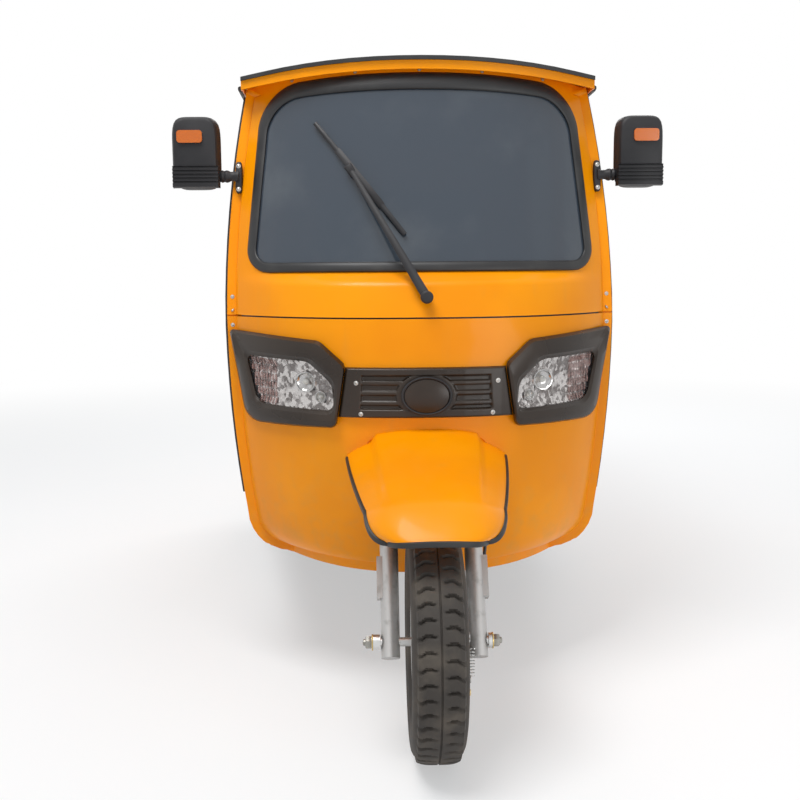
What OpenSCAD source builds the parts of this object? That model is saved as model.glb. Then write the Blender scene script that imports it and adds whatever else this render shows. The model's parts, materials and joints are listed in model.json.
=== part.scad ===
// Electric three-wheeled passenger cart with a closed cab front and open sides.
// Forward is -Y, up is +Z, the ground is z = 0. Every size is in millimetres.

/* [Overall] */
// Front axle to rear axle
wheelbase = 2000; // [1960:10:2080]
// Centre to centre of the rear tyres
rear_track = 970; // [950:5:976]

/* [Wheels] */
// Outer diameter of the tyres
tyre_d = 522; // [510:2:530]
// Width of the tyres
tyre_w = 118; // [108:2:120]
// Bead seat diameter of the rims
rim_d = 305; // [296:1:312]
// Diameter of the wheel spindles
spindle_d = 20; // [16:1:24]
// Running clearance on the radius of each turning bore
run_gap = 0.05; // [0.02:0.01:0.1]
// Holes round each wheel disc
vent_holes = 8; // [6:1:10]
// Diameter of those holes
vent_d = 30; // [22:1:34]

/* [Cab outline] */
// Width of the cab hoop where it is widest
cab_w = 1028; // [1015:1:1040]
// Height at which the cab is widest
shoulder_z = 1000; // [985:5:1020]
// How far each side draws in from there to the eave
top_tuck = 57; // [48:1:64]
// How far each side draws in from there to the lower corner
foot_tuck = 41; // [32:1:52]
// Radius of the lower corners
corner_r = 118; // [100:1:130]
// Underside of the nose
nose_bottom_z = 347; // [335:1:355]
// Height of the hoop at its upper corners
eave_z = 1594; // [1585:1:1605]
// Rise of the roof line from the corners to the middle
crown = 32; // [24:1:44]
// Hoop behind the front axle
hoop_setback = 545; // [540:1:570]
// Depth of the hoop, front to back
hoop_depth = 50; // [40:1:60]
// Width of the hoop section
hoop_wall = 44; // [40:1:52]
// Lean of the hoop above the bend
hoop_lean = 10; // [7:0.5:12]

/* [Cab front] */
// Thickness of the pressed panels
skin = 6; // [4:0.5:8]
// Face of the hoop left showing round the panels
rim_w = 26; // [20:1:30]
// Step from that face up to the panel
rim_step = 8; // [5:0.5:10]
// Reach of the nose ahead of the hoop
nose_bulge = 255; // [235:1:262]
// How far the nose falls back at its bottom edge
nose_recede = 38; // [20:1:46]
// Height below which the nose falls back
belt_z = 760; // [740:5:790]
// Squareness of the plan curve
plan_power = 2.5; // [2.2:0.1:3]
// Height of the joint between nose and screen surround
seam_z = 992; // [985:1:1000]
// Width of that joint
seam_gap = 4; // [3:0.5:6]
// Height of the cowl crest
crest_z = 1078; // [1070:1:1086]
// Depth of the shelf below the screen
shelf_depth = 42; // [30:1:50]
// Reach of the screen ahead of the hoop at the eave
top_bulge = 138; // [120:2:150]

/* [Windscreen] */
// Bottom edge of the screen opening
screen_bottom_z = 1103; // [1100:1:1112]
// Upper edge of the glass below the hoop's upper corners
screen_drop = 14; // [12:1:24]
// Half width of the opening at its bottom edge
screen_foot_half = 456; // [448:1:462]
// Half width of the opening at its top edge
screen_head_half = 427; // [420:1:430]
// Corner radius at the bottom
screen_foot_r = 60; // [50:1:75]
// Corner radius at the top
screen_head_r = 116; // [100:1:125]
// Width of the rubber seal
seal_w = 24; // [18:1:28]
// Extra width of the seal along the top
seal_head_extra = 12; // [6:1:16]
// Thickness of the glass
glass_t = 5; // [4:0.5:6]

/* [Lamps and mask] */
// How far the lamp surrounds stand off the nose
mask_proud = 24; // [18:1:28]
// Bottom of the grille panel
grille_bottom_z = 749; // [744:1:754]
// Top of the grille panel
grille_top_z = 873; // [868:1:878]
// Half width of the grille panel
grille_half = 212; // [206:1:213]
// Width of the blank oval boss
boss_w = 126; // [110:1:130]
// Height of the blank oval boss
boss_h = 96; // [84:1:104]
// Depth of the lamp bowls behind the nose
lamp_depth = 17; // [12:1:18]

/* [Front fender] */
// Length of the fender ahead of the front axle
fender_reach = 185; // [175:1:195]
// Top edge where it meets the nose
fender_top_z = 713; // [706:1:720]
// Height of the front lip
fender_lip_z = 562; // [556:1:570]
// Half width at the shoulders
fender_half = 196; // [186:1:204]
// Half width where the front corners start
fender_nose_half = 145; // [138:1:152]
// Thickness of the fender
fender_t = 5; // [4:0.5:6]
// Height of the rubber lip under it
lip_h = 12; // [9:1:15]

/* [Steering] */
// Rake of the steering axis from upright
rake = 30; // [28:0.5:31]
// Distance from the steering axis forward to the spindle
fork_offset = 54; // [50:1:58]
// Half the spacing of the fork legs
fork_half = 98; // [94:1:102]
// Diameter of the lower fork legs
slider_d = 42; // [38:1:44]
// Diameter of the upper fork tubes
stanchion_d = 31; // [28:1:33]
// Diameter of the steering stem
stem_d = 28; // [24:1:30]
// Outer diameter of the head tube
head_d = 48; // [44:1:50]
// Half width of the handlebar
bar_half = 270; // [240:5:280]
// Diameter of the handlebar tube
bar_d = 22; // [20:1:25]

/* [Mirrors] */
// Cab side to the near edge of a mirror
mirror_stalk = 34; // [28:1:46]
// Width of each mirror housing
mirror_w = 124; // [110:1:130]
// Height of each mirror housing
mirror_h = 188; // [170:1:200]
// Middle of the mirrors below the hoop's upper corners
mirror_drop = 176; // [154:2:194]

/* [Rear body] */
// Half width over the rear side panels
body_half = 578; // [574:1:584]
// Thickness of the rear side panels
side_t = 28; // [24:1:32]
// Space between the driver's cushion and the partition
driver_gap = 85; // [75:5:110]
// Front edge of the rear side panel at the sill
quarter_setback = 1600; // [1580:5:1620]
// Height of the top rail of the side panel
rail_z = 890; // [870:5:910]
// Rear panel behind the front axle
tail_setback = 2372; // [2365:1:2380]
// Thickness of the rear panel
tail_t = 24; // [20:1:28]
// Roof panel thickness
roof_t = 16; // [12:1:20]
// Highest point of the roof above the cab roof line
roof_rise = 26; // [10:1:34]
// Clear space between tyre and wheel arch
arch_gap = 34; // [30:1:38]
// Height of the floor
floor_z = 396; // [390:1:402]
// Thickness of the floor
floor_t = 8; // [6:0.5:10]
// Height of the deck under the bench
deck_z = 640; // [634:1:650]

/* [Seats] */
// Front of the driver's seat behind the front axle
driver_setback = 800; // [780:5:820]
// Width of the driver's seat
driver_w = 460; // [420:5:500]
// Depth of the driver's seat
driver_d = 350; // [330:5:370]
// Thickness of the seat cushions
cushion_t = 110; // [90:5:120]
// Space between the bench back and the tail
luggage_d = 212; // [190:2:230]
// Depth of the bench cushion
bench_d = 430; // [410:5:440]
// Thickness of the bench back
back_t = 90; // [80:2:100]
// Height of the bench backrest above its cushion
back_h = 430; // [380:5:460]

/* [Rear lid] */
// Half width of the lid
lid_half = 330; // [300:5:340]
// Bottom edge of the lid
lid_bottom_z = 500; // [490:5:520]
// Top edge of the lid
lid_top_z = 900; // [880:5:915]
// Gap round the lid
lid_gap = 5; // [5:0.5:7]
// Diameter of the hinge pins
pin_d = 8; // [6:0.5:10]

/* [Fittings] */
// Bore of the towing eye
tow_bore = 26; // [20:1:30]
// Diameter of the two holes for a plate
plate_hole = 7; // [5:0.5:8]
// Spacing of those two holes
plate_pitch = 160; // [120:5:200]

/* [Hidden] */
$fn = 64;
seat_gap = 0.3;
// Height of the axles in the body's own drawing, before it stands on its tyres.
axle_z = 285;
screen_top_z = eave_z - screen_drop;
mirror_z = eave_z - mirror_drop;
// the roof's crown starts this far below the eave
crown_run = 344;
tyre_r = tyre_d / 2;
rim_r = rim_d / 2;
bumper_reach = 88;
rear_overhang = tail_setback + bumper_reach - wheelbase;
front_axle_y = -(wheelbase + rear_overhang - tyre_r) / 2;
rear_axle_y = front_axle_y + wheelbase;
rear_end_y = rear_axle_y + rear_overhang;
hoop_y = front_axle_y + hoop_setback;
tail_y = front_axle_y + tail_setback;
partition_y = front_axle_y + driver_setback + driver_d + driver_gap;
quarter_y = front_axle_y + quarter_setback;
bench_y = tail_y - luggage_d - back_t - bench_d;
driver_y = front_axle_y + driver_setback;
corner_z = nose_bottom_z + corner_r;
axis_y = front_axle_y + fork_offset * cos(rake);
axis_z = axle_z - fork_offset * sin(rake);
arch_r = tyre_r + arch_gap;
wheel_x = rear_track / 2;

// Half width of the cab side at a height, before the lower corner is rounded.
function side_half(z) = cab_w / 2 - (z > shoulder_z
  ? top_tuck * pow((z - shoulder_z) / (eave_z - shoulder_z), 2)
  : foot_tuck * pow((shoulder_z - z) / (shoulder_z - corner_z), 2));

// Centre of the lower corner arcs.
function corner_x() = side_half(corner_z) - corner_r;

// Half width of the cab outline, drawn in by an inset.
function cab_half(z, inset = 0) = z >= corner_z ? side_half(z) - inset
  : corner_x() + sqrt(max(0, pow(corner_r - inset, 2) - pow(corner_z - z, 2)));

// Front face of the hoop.
function edge_y(z) = hoop_y + max(0, z - seam_z) * tan(hoop_lean);

// Reach of the front skin ahead of the hoop on the middle line.
function bulge(z) = z < belt_z
  ? nose_bulge - nose_recede * pow((belt_z - z) / (belt_z - nose_bottom_z), 1.5)
  : z < crest_z ? nose_bulge - 16 * pow((z - belt_z) / (crest_z - belt_z), 3)
  : z < screen_bottom_z
  ? nose_bulge - 16 - shelf_depth * (z - crest_z) / (screen_bottom_z - crest_z)
  : nose_bulge - 16 - shelf_depth - (nose_bulge - 16 - shelf_depth - top_bulge)
    * (z - screen_bottom_z) / (eave_z + crown - screen_bottom_z);

// Edge of the raised panel at a height.
function panel_half(z) = cab_half(max(z, nose_bottom_z + rim_w), rim_w);

// Plan curve, 1 on the middle line and 0 at the panel edge.
function plan(x, z) = 1 - pow(min(1, abs(x) / panel_half(z)), plan_power);

// Outer face of the raised panel, and of the whole front with its rim.
function skin_y(x, z) = edge_y(z) - skin - rim_step - bulge(z) * plan(x, z);
function front_y(x, z) = skin_y(x, z)
  + ((abs(x) > panel_half(z) + 1 || z < nose_bottom_z + rim_w - 1) ? rim_step : 0);

// Right half of the hoop outline from the bottom middle to the top middle.
function hoop_side(inset) = concat(
  [for (i = [0:2]) [corner_x() * i / 3, nose_bottom_z + inset]],
  [for (a = [0:15:90]) [corner_x() + (corner_r - inset) * sin(a),
    corner_z - (corner_r - inset) * cos(a)]],
  [for (i = [1:6]) let (z = lerp(corner_z, seam_z, i / 6)) [side_half(z) - inset, z]],
  [for (i = [1:7]) let (z = lerp(seam_z, eave_z - inset, i / 7)) [side_half(z) - inset, z]],
  [for (i = [1:8]) let (x = (side_half(eave_z) - inset) * (1 - i / 8))
    [x, eave_z - inset + crown * (1 - pow(x / (side_half(eave_z) - inset), 2))]]);

function mirrored(half) = [for (i = [len(half) - 2:-1:1]) [-half[i][0], half[i][1]]];
function loop(inset) = concat(hoop_side(inset), mirrored(hoop_side(inset)));

// Underside of the roof panel.
roof_front_y = front_axle_y + 470;
roof_sweep = 112;
roof_back_y = tail_y + tail_t + 30;
roof_lap = 10;
roof_tuck = 40;
function roof_half(y) = lerp(side_half(eave_z) + roof_lap, body_half - roof_tuck,
  min(1, max(0, (y - hoop_y - 110) / 900)));
function roof_line(y) = eave_z + seat_gap
  + roof_rise * sin(90 * min(1, max(0, (y - hoop_y - 160) / 800)));
function under_roof(x, y) = roof_line(y)
  + crown * (1 - pow(min(1, abs(x) / (roof_half(y) - roof_lap)), 2));

// Unit vector, and points on a closed outline with rounded corners.
function unit(v) = v / norm(v);
function lerp(a, b, t) = a + (b - a) * t;
function fillet(p, q, s, r) = let (
    u = unit(p - q),
    v = unit(s - q),
    half = acos(u * v) / 2,
    c = q + unit(u + v) * r / sin(half),
    t = q + u * r / tan(half) - c)
  [c, atan2(t[1], t[0]), 180 - 2 * half, r];
function on_arc(f, t) = f[0] + f[3] * [cos(f[1] + f[2] * t), sin(f[1] + f[2] * t)];
function outline(corners, arc_n, edge_n) = let (
    n = len(corners),
    pt = [for (c = corners) [c[0], c[1]]],
    f = [for (i = [0:n - 1])
      fillet(pt[(i + n - 1) % n], pt[i], pt[(i + 1) % n], corners[i][2])])
  [for (i = [0:n - 1], k = [0:2 * arc_n + edge_n - 1])
    let (g = f[i], h = f[(i + 1) % n])
    k < arc_n ? on_arc(g, 0.5 + 0.5 * k / arc_n)
    : k < arc_n + edge_n ? lerp(on_arc(g, 1), on_arc(h, 0), (k - arc_n) / edge_n)
    : on_arc(h, 0.5 * (k - arc_n - edge_n) / arc_n)];

// Closed tube of loops: both the rows and the points along each row wrap round.
module wrap(rows) {
  m = len(rows);
  n = len(rows[0]);
  polyhedron(
    points = [for (r = rows, p = r) p],
    faces = [for (i = [0:m - 1], j = [0:n - 1])
      let (a = i * n + j, b = (i + 1) % m * n + j,
        c = (i + 1) % m * n + (j + 1) % n, d = i * n + (j + 1) % n)
      each [[a, b, c], [a, c, d]]]);
}

// Slab between a front grid and a back grid of the same size.
module slab(front, back) {
  m = len(front) - 1;
  n = len(front[0]) - 1;
  w = n + 1;
  o = (m + 1) * w;
  polyhedron(
    points = [for (g = [front, back], r = g, p = r) p],
    faces = concat(
      [for (i = [0:m - 1], j = [0:n - 1])
        let (a = i * w + j, b = a + w)
        each [[a, b, b + 1], [a, b + 1, a + 1],
          [o + a, o + b + 1, o + b], [o + a, o + a + 1, o + b + 1]]],
      [for (j = [0:n - 1]) let (t = m * w + j)
        each [[j, j + 1, o + j + 1], [j, o + j + 1, o + j],
          [t + 1, t, o + t], [t + 1, o + t, o + t + 1]]],
      [for (i = [0:m - 1]) let (a = i * w, b = a + w, c = a + n, d = c + w)
        each [[b, a, o + a], [b, o + a, o + b],
          [c, d, o + d], [c, o + d, o + c]]]));
}

// Domed pane: rings from the edge to a middle point, front and back.
module pane(front, front_mid, back, back_mid) {
  m = len(front) - 1;
  n = len(front[0]);
  o = (m + 1) * n;
  mid = 2 * o;
  polyhedron(
    points = concat([for (g = [front, back], r = g, p = r) p], [front_mid, back_mid]),
    faces = concat(
      [for (i = [0:max(0, m - 1)], j = [0:n - 1]) if (m > 0)
        let (k = (j + 1) % n, a = i * n + j, b = a + n, c = (i + 1) * n + k, d = i * n + k)
        each [[a, b, c], [a, c, d], [o + a, o + c, o + b], [o + a, o + d, o + c]]],
      [for (j = [0:n - 1]) let (k = (j + 1) % n, a = m * n + j, d = m * n + k)
        each [[a, mid, d], [o + a, o + d, mid + 1]]],
      [for (j = [0:n - 1]) let (k = (j + 1) % n)
        each [[j, k, o + k], [j, o + k, o + j]]]));
}

// Tube along a path of points with a radius for each.
module tube(path, radii, sides = 10) {
  last = len(path) - 1;
  function along(i) = unit(path[min(last, i + 1)] - path[max(0, i - 1)]);
  function across(i) = let (t = along(i))
    unit(cross(t, abs(t[2]) < 0.9 ? [0, 0, 1] : [0, 1, 0]));
  rows = [for (i = [0:last]) let (u = across(i), v = cross(u, along(i)))
    [for (k = [0:sides - 1])
      path[i] + radii[i] * (cos(360 * k / sides) * u + sin(360 * k / sides) * v)]];
  polyhedron(
    points = [for (r = rows, p = r) p],
    faces = concat(
      [for (i = [0:last - 1], k = [0:sides - 1])
        let (a = i * sides + k, b = a + sides,
          c = (i + 1) * sides + (k + 1) % sides, d = i * sides + (k + 1) % sides)
        each [[a, c, b], [a, d, c]]],
      [[for (k = [sides - 1:-1:0]) k]],
      [[for (k = [0:sides - 1]) last * sides + k]]));
}

// Lets the whole drawing down until the tyres stand on the ground.
module on_wheels() {
  translate([0, 0, tyre_r - axle_z]) children();
}

module along_y(y0, y1) {
  translate([0, y1, 0]) rotate([90, 0, 0]) linear_extrude(y1 - y0) children();
}

module along_x(x0, x1) {
  translate([x0, 0, 0]) rotate([90, 0, 90]) linear_extrude(x1 - x0) children();
}

module both_sides() {
  children();
  mirror([1, 0, 0]) children();
}

// Flat rounded rectangle about its middle.
module rounded(w, h, r) {
  square([w - 2 * r, h], center = true);
  square([w, h - 2 * r], center = true);
  for (x = [-1, 1], y = [-1, 1])
    translate([x * (w / 2 - r), y * (h / 2 - r)]) circle(r);
}

module box(x0, x1, y0, y1, z0, z1) {
  translate([x0, y0, z0]) cube([x1 - x0, y1 - y0, z1 - z0]);
}

module rod_x(x0, x1, y, z, d) {
  translate([x0, y, z]) rotate([0, 90, 0]) cylinder(d = d, h = x1 - x0);
}

// Local frame of the steering: z runs up the raked axis.
module at_steering() {
  translate([0, axis_y, axis_z]) rotate([-rake, 0, 0]) children();
}

paint = [0.96, 0.58, 0.03];
black = [0.07, 0.07, 0.075];
steel = [0.62, 0.63, 0.64];

// Frame and floor

rail_x = 250;
rail_w = 50;
rail_top = floor_z - floor_t - seat_gap;
rail_h = 46;
frame_front_y = hoop_y + hoop_depth + 6;

module chassis_frame() {
  color(black) union() {
    both_sides() box(rail_x - rail_w / 2, rail_x + rail_w / 2, frame_front_y, tail_y - 4,
      rail_top - rail_h, rail_top);
    both_sides() for (y = [-1, 1]) spring_hanger(rear_axle_y + hanger_reach * y);
    for (y = [frame_front_y + 20, driver_y + 200, partition_y, bench_y, tail_y - 60])
      box(-rail_x, rail_x, y - 20, y + 20, rail_top - rail_h, rail_top);
  }
}

// Bracket out from the rail under one end of a spring.
hanger_reach = 290;
hanger_w = 24;
module spring_hanger(y) {
  near = hanger_reach - hanger_w / 2;
  under = axle_z + axle_d / 2 + leaf_r - sqrt(leaf_r * leaf_r - near * near);
  box(rail_x, spring_x + 30, y - hanger_w / 2, y + hanger_w / 2, rail_top - rail_h, under - seat_gap);
}

function floor_front(x) = skin_y(x, floor_z - floor_t) + skin + 10;

module floor_pan() {
  half = panel_half(floor_z - floor_t) - 10;
  color(black) translate([0, 0, floor_z - floor_t]) linear_extrude(floor_t)
    polygon(concat(
      [for (i = [-8:8]) let (x = half * sin(90 * i / 8)) [x, floor_front(x)]],
      [[half, hoop_y + hoop_depth], [cab_half(floor_z - floor_t) - 4, hoop_y + hoop_depth + 20],
        [side_half(floor_z) - 4, hoop_y + hoop_depth + 220],
        [body_half - side_t - 4, quarter_y], [wheel_x - tyre_w / 2 - 40, quarter_y],
        [wheel_x - tyre_w / 2 - 40, bench_y + 60], [-(wheel_x - tyre_w / 2 - 40), bench_y + 60],
        [-(wheel_x - tyre_w / 2 - 40), quarter_y], [-(body_half - side_t - 4), quarter_y],
        [-(side_half(floor_z) - 4), hoop_y + hoop_depth + 220],
        [-(cab_half(floor_z - floor_t) - 4), hoop_y + hoop_depth + 20], [-half, hoop_y + hoop_depth]]));
}

// Painted sills under the edges of the floor, from the hoop to the rear quarters.
sill_in = 46;

module side_sills() {
  z0 = nose_bottom_z + 8;
  y0 = hoop_y + hoop_depth + 2;
  color(paint) both_sides() translate([0, 0, z0]) linear_extrude(floor_z - floor_t - seat_gap - z0)
    polygon([[corner_x() - 10, y0], [corner_x() + 40, y0], [side_half(floor_z) - 8, y0 + 180],
      [body_half - side_t - 2, quarter_y - 60], [body_half - 4, quarter_y - 2],
      [body_half - side_t - sill_in, quarter_y - 2]]);
}

// Cab front

module cab_hoop() {
  outer = loop(0);
  inner = loop(hoop_wall);
  color(paint) difference() {
    wrap([
      [for (p = outer) [p[0], edge_y(p[1]), p[1]]],
      [for (p = inner) [p[0], edge_y(p[1]), p[1]]],
      [for (p = inner) [p[0], edge_y(p[1]) + hoop_depth, p[1]]],
      [for (p = outer) [p[0], edge_y(p[1]) + hoop_depth, p[1]]]]);
    box(-panel_half(floor_z) - 4, panel_half(floor_z) + 4, hoop_y - 20, hoop_y + hoop_depth + 20,
      floor_z - floor_t - seat_gap, floor_z + seat_gap);
  }
}

// Grid of points over the nose: rim rows at the bottom, rim columns at the sides.
nose_rows = concat([nose_bottom_z, nose_bottom_z + rim_w - 2],
  [for (a = [0:18:90]) corner_z - (corner_r - rim_w) * cos(a)],
  [for (i = [1:10]) corner_z + (seam_z - seam_gap / 2 - corner_z) * i / 10]);
nose_cols = [for (i = [-16:16]) sin(90 * i / 16)];

function nose_x(z) = let (
    in = z < nose_bottom_z + 5 ? corner_x() - 8 : panel_half(z),
    out = cab_half(z) + (z < nose_bottom_z + 5 ? 4 : 0))
  concat([-out, -(in + 2)], [for (u = nose_cols) in * u], [in + 2, out]);

module nose_panel() {
  front = [for (z = nose_rows) [for (x = nose_x(z)) [x, front_y(x, z), z]]];
  back = [for (z = nose_rows) [for (x = nose_x(z)) [x, front_y(x, z) + skin - seat_gap, z]]];
  color(paint) difference() {
    slab(front, back);
    along_y(front_axle_y, hoop_y + 60) translate([0, (arch_z0 + arch_z1) / 2])
      rounded(2 * arch_half, arch_z1 - arch_z0, 30);
    both_sides() along_y(front_axle_y, hoop_y + 60) polygon(outline(lamp_outline(4), 3, 4));
  }
}

// Opening behind the fender for the fork, closed by a liner inside the nose.
arch_half = 150;
arch_z0 = 470;
arch_z1 = 700;
liner_t = 4;
liner_back_y = front_axle_y + 345;

module arch_liner() {
  y0 = skin_y(arch_half + 20, arch_z0) + skin + 2;
  color(black) difference() {
    box(-arch_half - 12, arch_half + 12, y0, liner_back_y, arch_z0 - 12, arch_z1 + 12);
    box(-arch_half - 12 + liner_t, arch_half + 12 - liner_t, y0 - 1, liner_back_y - liner_t,
      arch_z0 - 12 + liner_t, arch_z1 + 12 - liner_t);
    at_steering() cylinder(d = head_d + 4, h = 900);
  }
}

// Tube that carries the stem, with two struts down to the floor.
head_z0 = 545;
head_z1 = 700;

module steering_head() {
  color(black) difference() {
    union() {
      at_steering() translate([0, 0, head_z0]) cylinder(d = head_d, h = head_z1 - head_z0);
      both_sides() head_strut();
    }
    at_steering() cylinder(d = stem_d + 2 * run_gap, h = 900);
  }
}

module head_strut() {
  top = [14, axis_y + (head_z1 - 30) * sin(rake), axis_z + (head_z1 - 30) * cos(rake)];
  foot = [rail_x - 60, hoop_y + hoop_depth - 10, floor_z + seat_gap];
  run = foot - top;
  difference() {
    translate(top) rotate([0, acos(run[2] / norm(run)), atan2(run[1], run[0])])
      cylinder(d = 30, h = norm(run) + 30);
    box(-600, 600, hoop_y - 400, hoop_y + 400, floor_z - 200, floor_z + seat_gap);
  }
}

// Outline of the surround from the joint up to the eave, drawn in by an inset.
side_n = 12;
function surround(inset) = let (
    z0 = seam_z + seam_gap / 2 + inset,
    z1 = eave_z - inset,
    x0 = cab_half(z0, inset),
    x1 = cab_half(z1, inset))
  concat(
    [for (i = [0:side_n - 1]) [x0 * (2 * i / side_n - 1), z0]],
    [for (i = [0:side_n - 1]) let (z = lerp(z0, z1, i / side_n)) [cab_half(z, inset), z]],
    [for (i = [0:side_n - 1]) let (x = x1 * (1 - 2 * i / side_n))
      [x, z1 + crown * (1 - pow(x / x1, 2))]],
    [for (i = [0:side_n - 1]) let (z = lerp(z1, z0, i / side_n)) [-cab_half(z, inset), z]]);

// Outline of the screen opening; its top edge follows the roof crown.
function crowned(p) = [p[0], p[1] + crown * pow(max(0, p[1] - eave_z + crown_run) / crown_run, 2)
  * (1 - pow(min(1, p[0] / side_half(eave_z)), 2))];
function screen(inset, extra = 0) = [for (p = outline([
    [-(screen_foot_half - inset), screen_bottom_z + inset, screen_foot_r - inset],
    [screen_foot_half - inset, screen_bottom_z + inset, screen_foot_r - inset],
    [screen_head_half - inset, screen_top_z - inset - extra, screen_head_r - inset],
    [-(screen_head_half - inset), screen_top_z - inset - extra, screen_head_r - inset]],
    4, side_n - 8)) crowned(p)];

function on_front(pts, off) = [for (p = pts) [p[0], front_y(p[0], p[1]) + off, p[1]]];
function blend(a, b, t) = [for (i = [0:len(a) - 1]) lerp(a[i], b[i], t)];

module screen_surround() {
  edge = surround(rim_w + 1);
  hole = screen(0);
  rows = concat([surround(0), surround(rim_w - 2), edge],
    [for (t = [0.3, 0.6, 0.8, 1]) blend(edge, hole, t)]);
  back = [for (i = [len(rows) - 1:-1:0]) rows[i]];
  color(paint) wrap(concat(
    [for (r = rows) on_front(r, 0)],
    [for (r = back) on_front(r, skin - seat_gap)]));
}

module screen_seal() {
  outer = screen(seat_gap);
  inner = screen(seal_w, seal_head_extra);
  color(black) wrap([
    on_front(outer, -1),
    on_front(blend(outer, inner, 0.2), -8),
    on_front(blend(outer, inner, 0.75), -8),
    on_front(inner, -2),
    on_front(inner, 10),
    on_front(outer, 10)]);
}

module windscreen() {
  edge = screen(seal_w + seat_gap, seal_head_extra);
  mid = [0, (screen_bottom_z + screen_top_z) / 2 + 10];
  rings = [edge, blend(edge, [for (p = edge) mid], 0.35), blend(edge, [for (p = edge) mid], 0.7)];
  color([0.25, 0.3, 0.34, 0.6]) pane(
    [for (r = rings) on_front(r, 1)], [mid[0], front_y(mid[0], mid[1]) + 1, mid[1]],
    [for (r = rings) on_front(r, 1 + glass_t)],
    [mid[0], front_y(mid[0], mid[1]) + 1 + glass_t, mid[1]]);
}

// Mask: two lamp surrounds and the grille panel between them

// Corners of the lamp opening, grown by a margin: x, z, radius.
function lamp_outline(grow) = [
  [226 - grow, 764 - grow, 20],
  [430 + grow, 769 - grow, 34],
  [460 + grow, 892 + grow, 14],
  [292 - grow * 0.4, 885 + grow, 42],
  [232 - grow, 832 + grow * 0.5, 40]];

// Outer corners of one lamp surround: x, z, radius.
bezel_outline = [
  [222, 722, 18],
  [468, 716, 50],
  [508, 957, 10],
  [262, 937, 36],
  [197, 880, 20]];

mask_gap = 2.4;
function on_skin(pts, off) = [for (p = pts) [p[0], skin_y(p[0], p[1]) - off, p[1]]];

module lamp_bezel() {
  outer = outline(bezel_outline, 3, 4);
  inner = outline(lamp_outline(0), 3, 4);
  // share of the way in, height above the nose
  profile = [[0, 8], [0.12, mask_proud], [0.45, mask_proud + 4], [0.8, mask_proud], [1, mask_proud - 12]];
  wrap(concat(
    [for (s = profile) on_skin(blend(outer, inner, s[0]), s[1])],
    [on_skin(inner, mask_gap), on_skin(outer, mask_gap)]));
}

module lamp_bezels() {
  color(black) both_sides() lamp_bezel();
}

lamp_mid = [335, 828];

module lamp_bowl() {
  edge = outline(lamp_outline(2), 3, 4);
  function ring(t) = blend(edge, [for (p = edge) lamp_mid], t);
  function mid(off) = [lamp_mid[0], skin_y(lamp_mid[0], lamp_mid[1]) - off, lamp_mid[1]];
  pane([on_skin(ring(0), 0), on_skin(ring(0.06), 0), on_skin(ring(0.35), 4 - lamp_depth)], mid(4 - lamp_depth),
    [on_skin(ring(0), -lamp_depth), on_skin(ring(0.06), -lamp_depth), on_skin(ring(0.35), -lamp_depth)],
    mid(-lamp_depth));
}

module lamp_bowls() {
  color(steel) both_sides() lamp_bowl();
}

module lamp_lens() {
  edge = outline(lamp_outline(-1), 3, 4);
  rings = [edge, blend(edge, [for (p = edge) lamp_mid], 0.5)];
  function mid(off) = [lamp_mid[0], skin_y(lamp_mid[0], lamp_mid[1]) - off, lamp_mid[1]];
  pane([for (r = rings) on_skin(r, 9)], mid(9), [for (r = rings) on_skin(r, 4)], mid(4));
}

module lamp_lenses() {
  color([0.85, 0.88, 0.9, 0.5]) both_sides() lamp_lens();
}

boss_z = 805;
// how much narrower the panel is at its top, along the lamp surrounds
grille_lean = 19;

module grille_panel() {
  cols = [for (i = [-10:10]) grille_half * i / 10];
  // height share, stand-off
  rows = [[0, 8], [0.06, 14], [0.3, 14], [0.32, 8], [0.42, 8], [0.44, 14], [0.56, 14], [0.58, 8],
    [0.68, 8], [0.7, 14], [0.94, 14], [1, 8]];
  function at(x, s, off) = let (z = lerp(grille_bottom_z, grille_top_z, s),
    lean = x * (1 - grille_lean / grille_half * s)) [lean, skin_y(lean, z) - off, z];
  color(black) union() {
    slab([for (r = rows) [for (x = cols) at(x, r[0], r[1])]],
      [for (r = rows) [for (x = cols) at(x, r[0], seat_gap)]]);
    translate([0, skin_y(0, boss_z) - 20, boss_z]) rotate([-90, 0, 0])
      linear_extrude(16) scale([1, boss_h / boss_w]) circle(d = boss_w);
  }
}

// Wiper, parked on the left half of the glass

wiper_pivot = [2, screen_bottom_z - 60];
blade_top = [-270, screen_top_z - 98];
blade_foot = [-46, screen_bottom_z + 93];
// the arm holds the blade a little past its middle
wiper_elbow = [-179, lerp(blade_foot[1], blade_top[1], 0.59375) - 7.8125];

function off_glass(p, h) = [p[0], front_y(p[0], p[1]) - h, p[1]];

module wiper() {
  color(black) union() {
    translate([wiper_pivot[0], front_y(wiper_pivot[0], wiper_pivot[1]) - 34, wiper_pivot[1]])
      rotate([-90, 0, 0]) cylinder(d = 26, h = 29);
    tube([for (t = [0, 0.3, 0.6, 1]) off_glass(lerp(wiper_pivot, wiper_elbow, t), 22 - 2 * t)],
      [8, 7, 5, 4], 6);
    tube([for (t = [0:0.2:1]) off_glass(lerp(blade_foot, blade_top, t), 8)],
      [3, 4, 5, 5, 4, 3], 6);
    // clip that holds the blade to the arm
    translate(off_glass(wiper_elbow, 22)) rotate([-90, 0, 0]) cylinder(d = 7, h = 14);
  }
}

// Front fender, fixed to the nose

fender_y = front_axle_y - fender_reach;
fender_cols = [-1, -0.96, -0.86, -0.74, -0.66, -0.45, -0.22, 0, 0.22, 0.45, 0.66, 0.74, 0.86, 0.96, 1];
fender_n = 10;
// raised middle panel, highest at the nose
fender_rise = 12;

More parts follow.
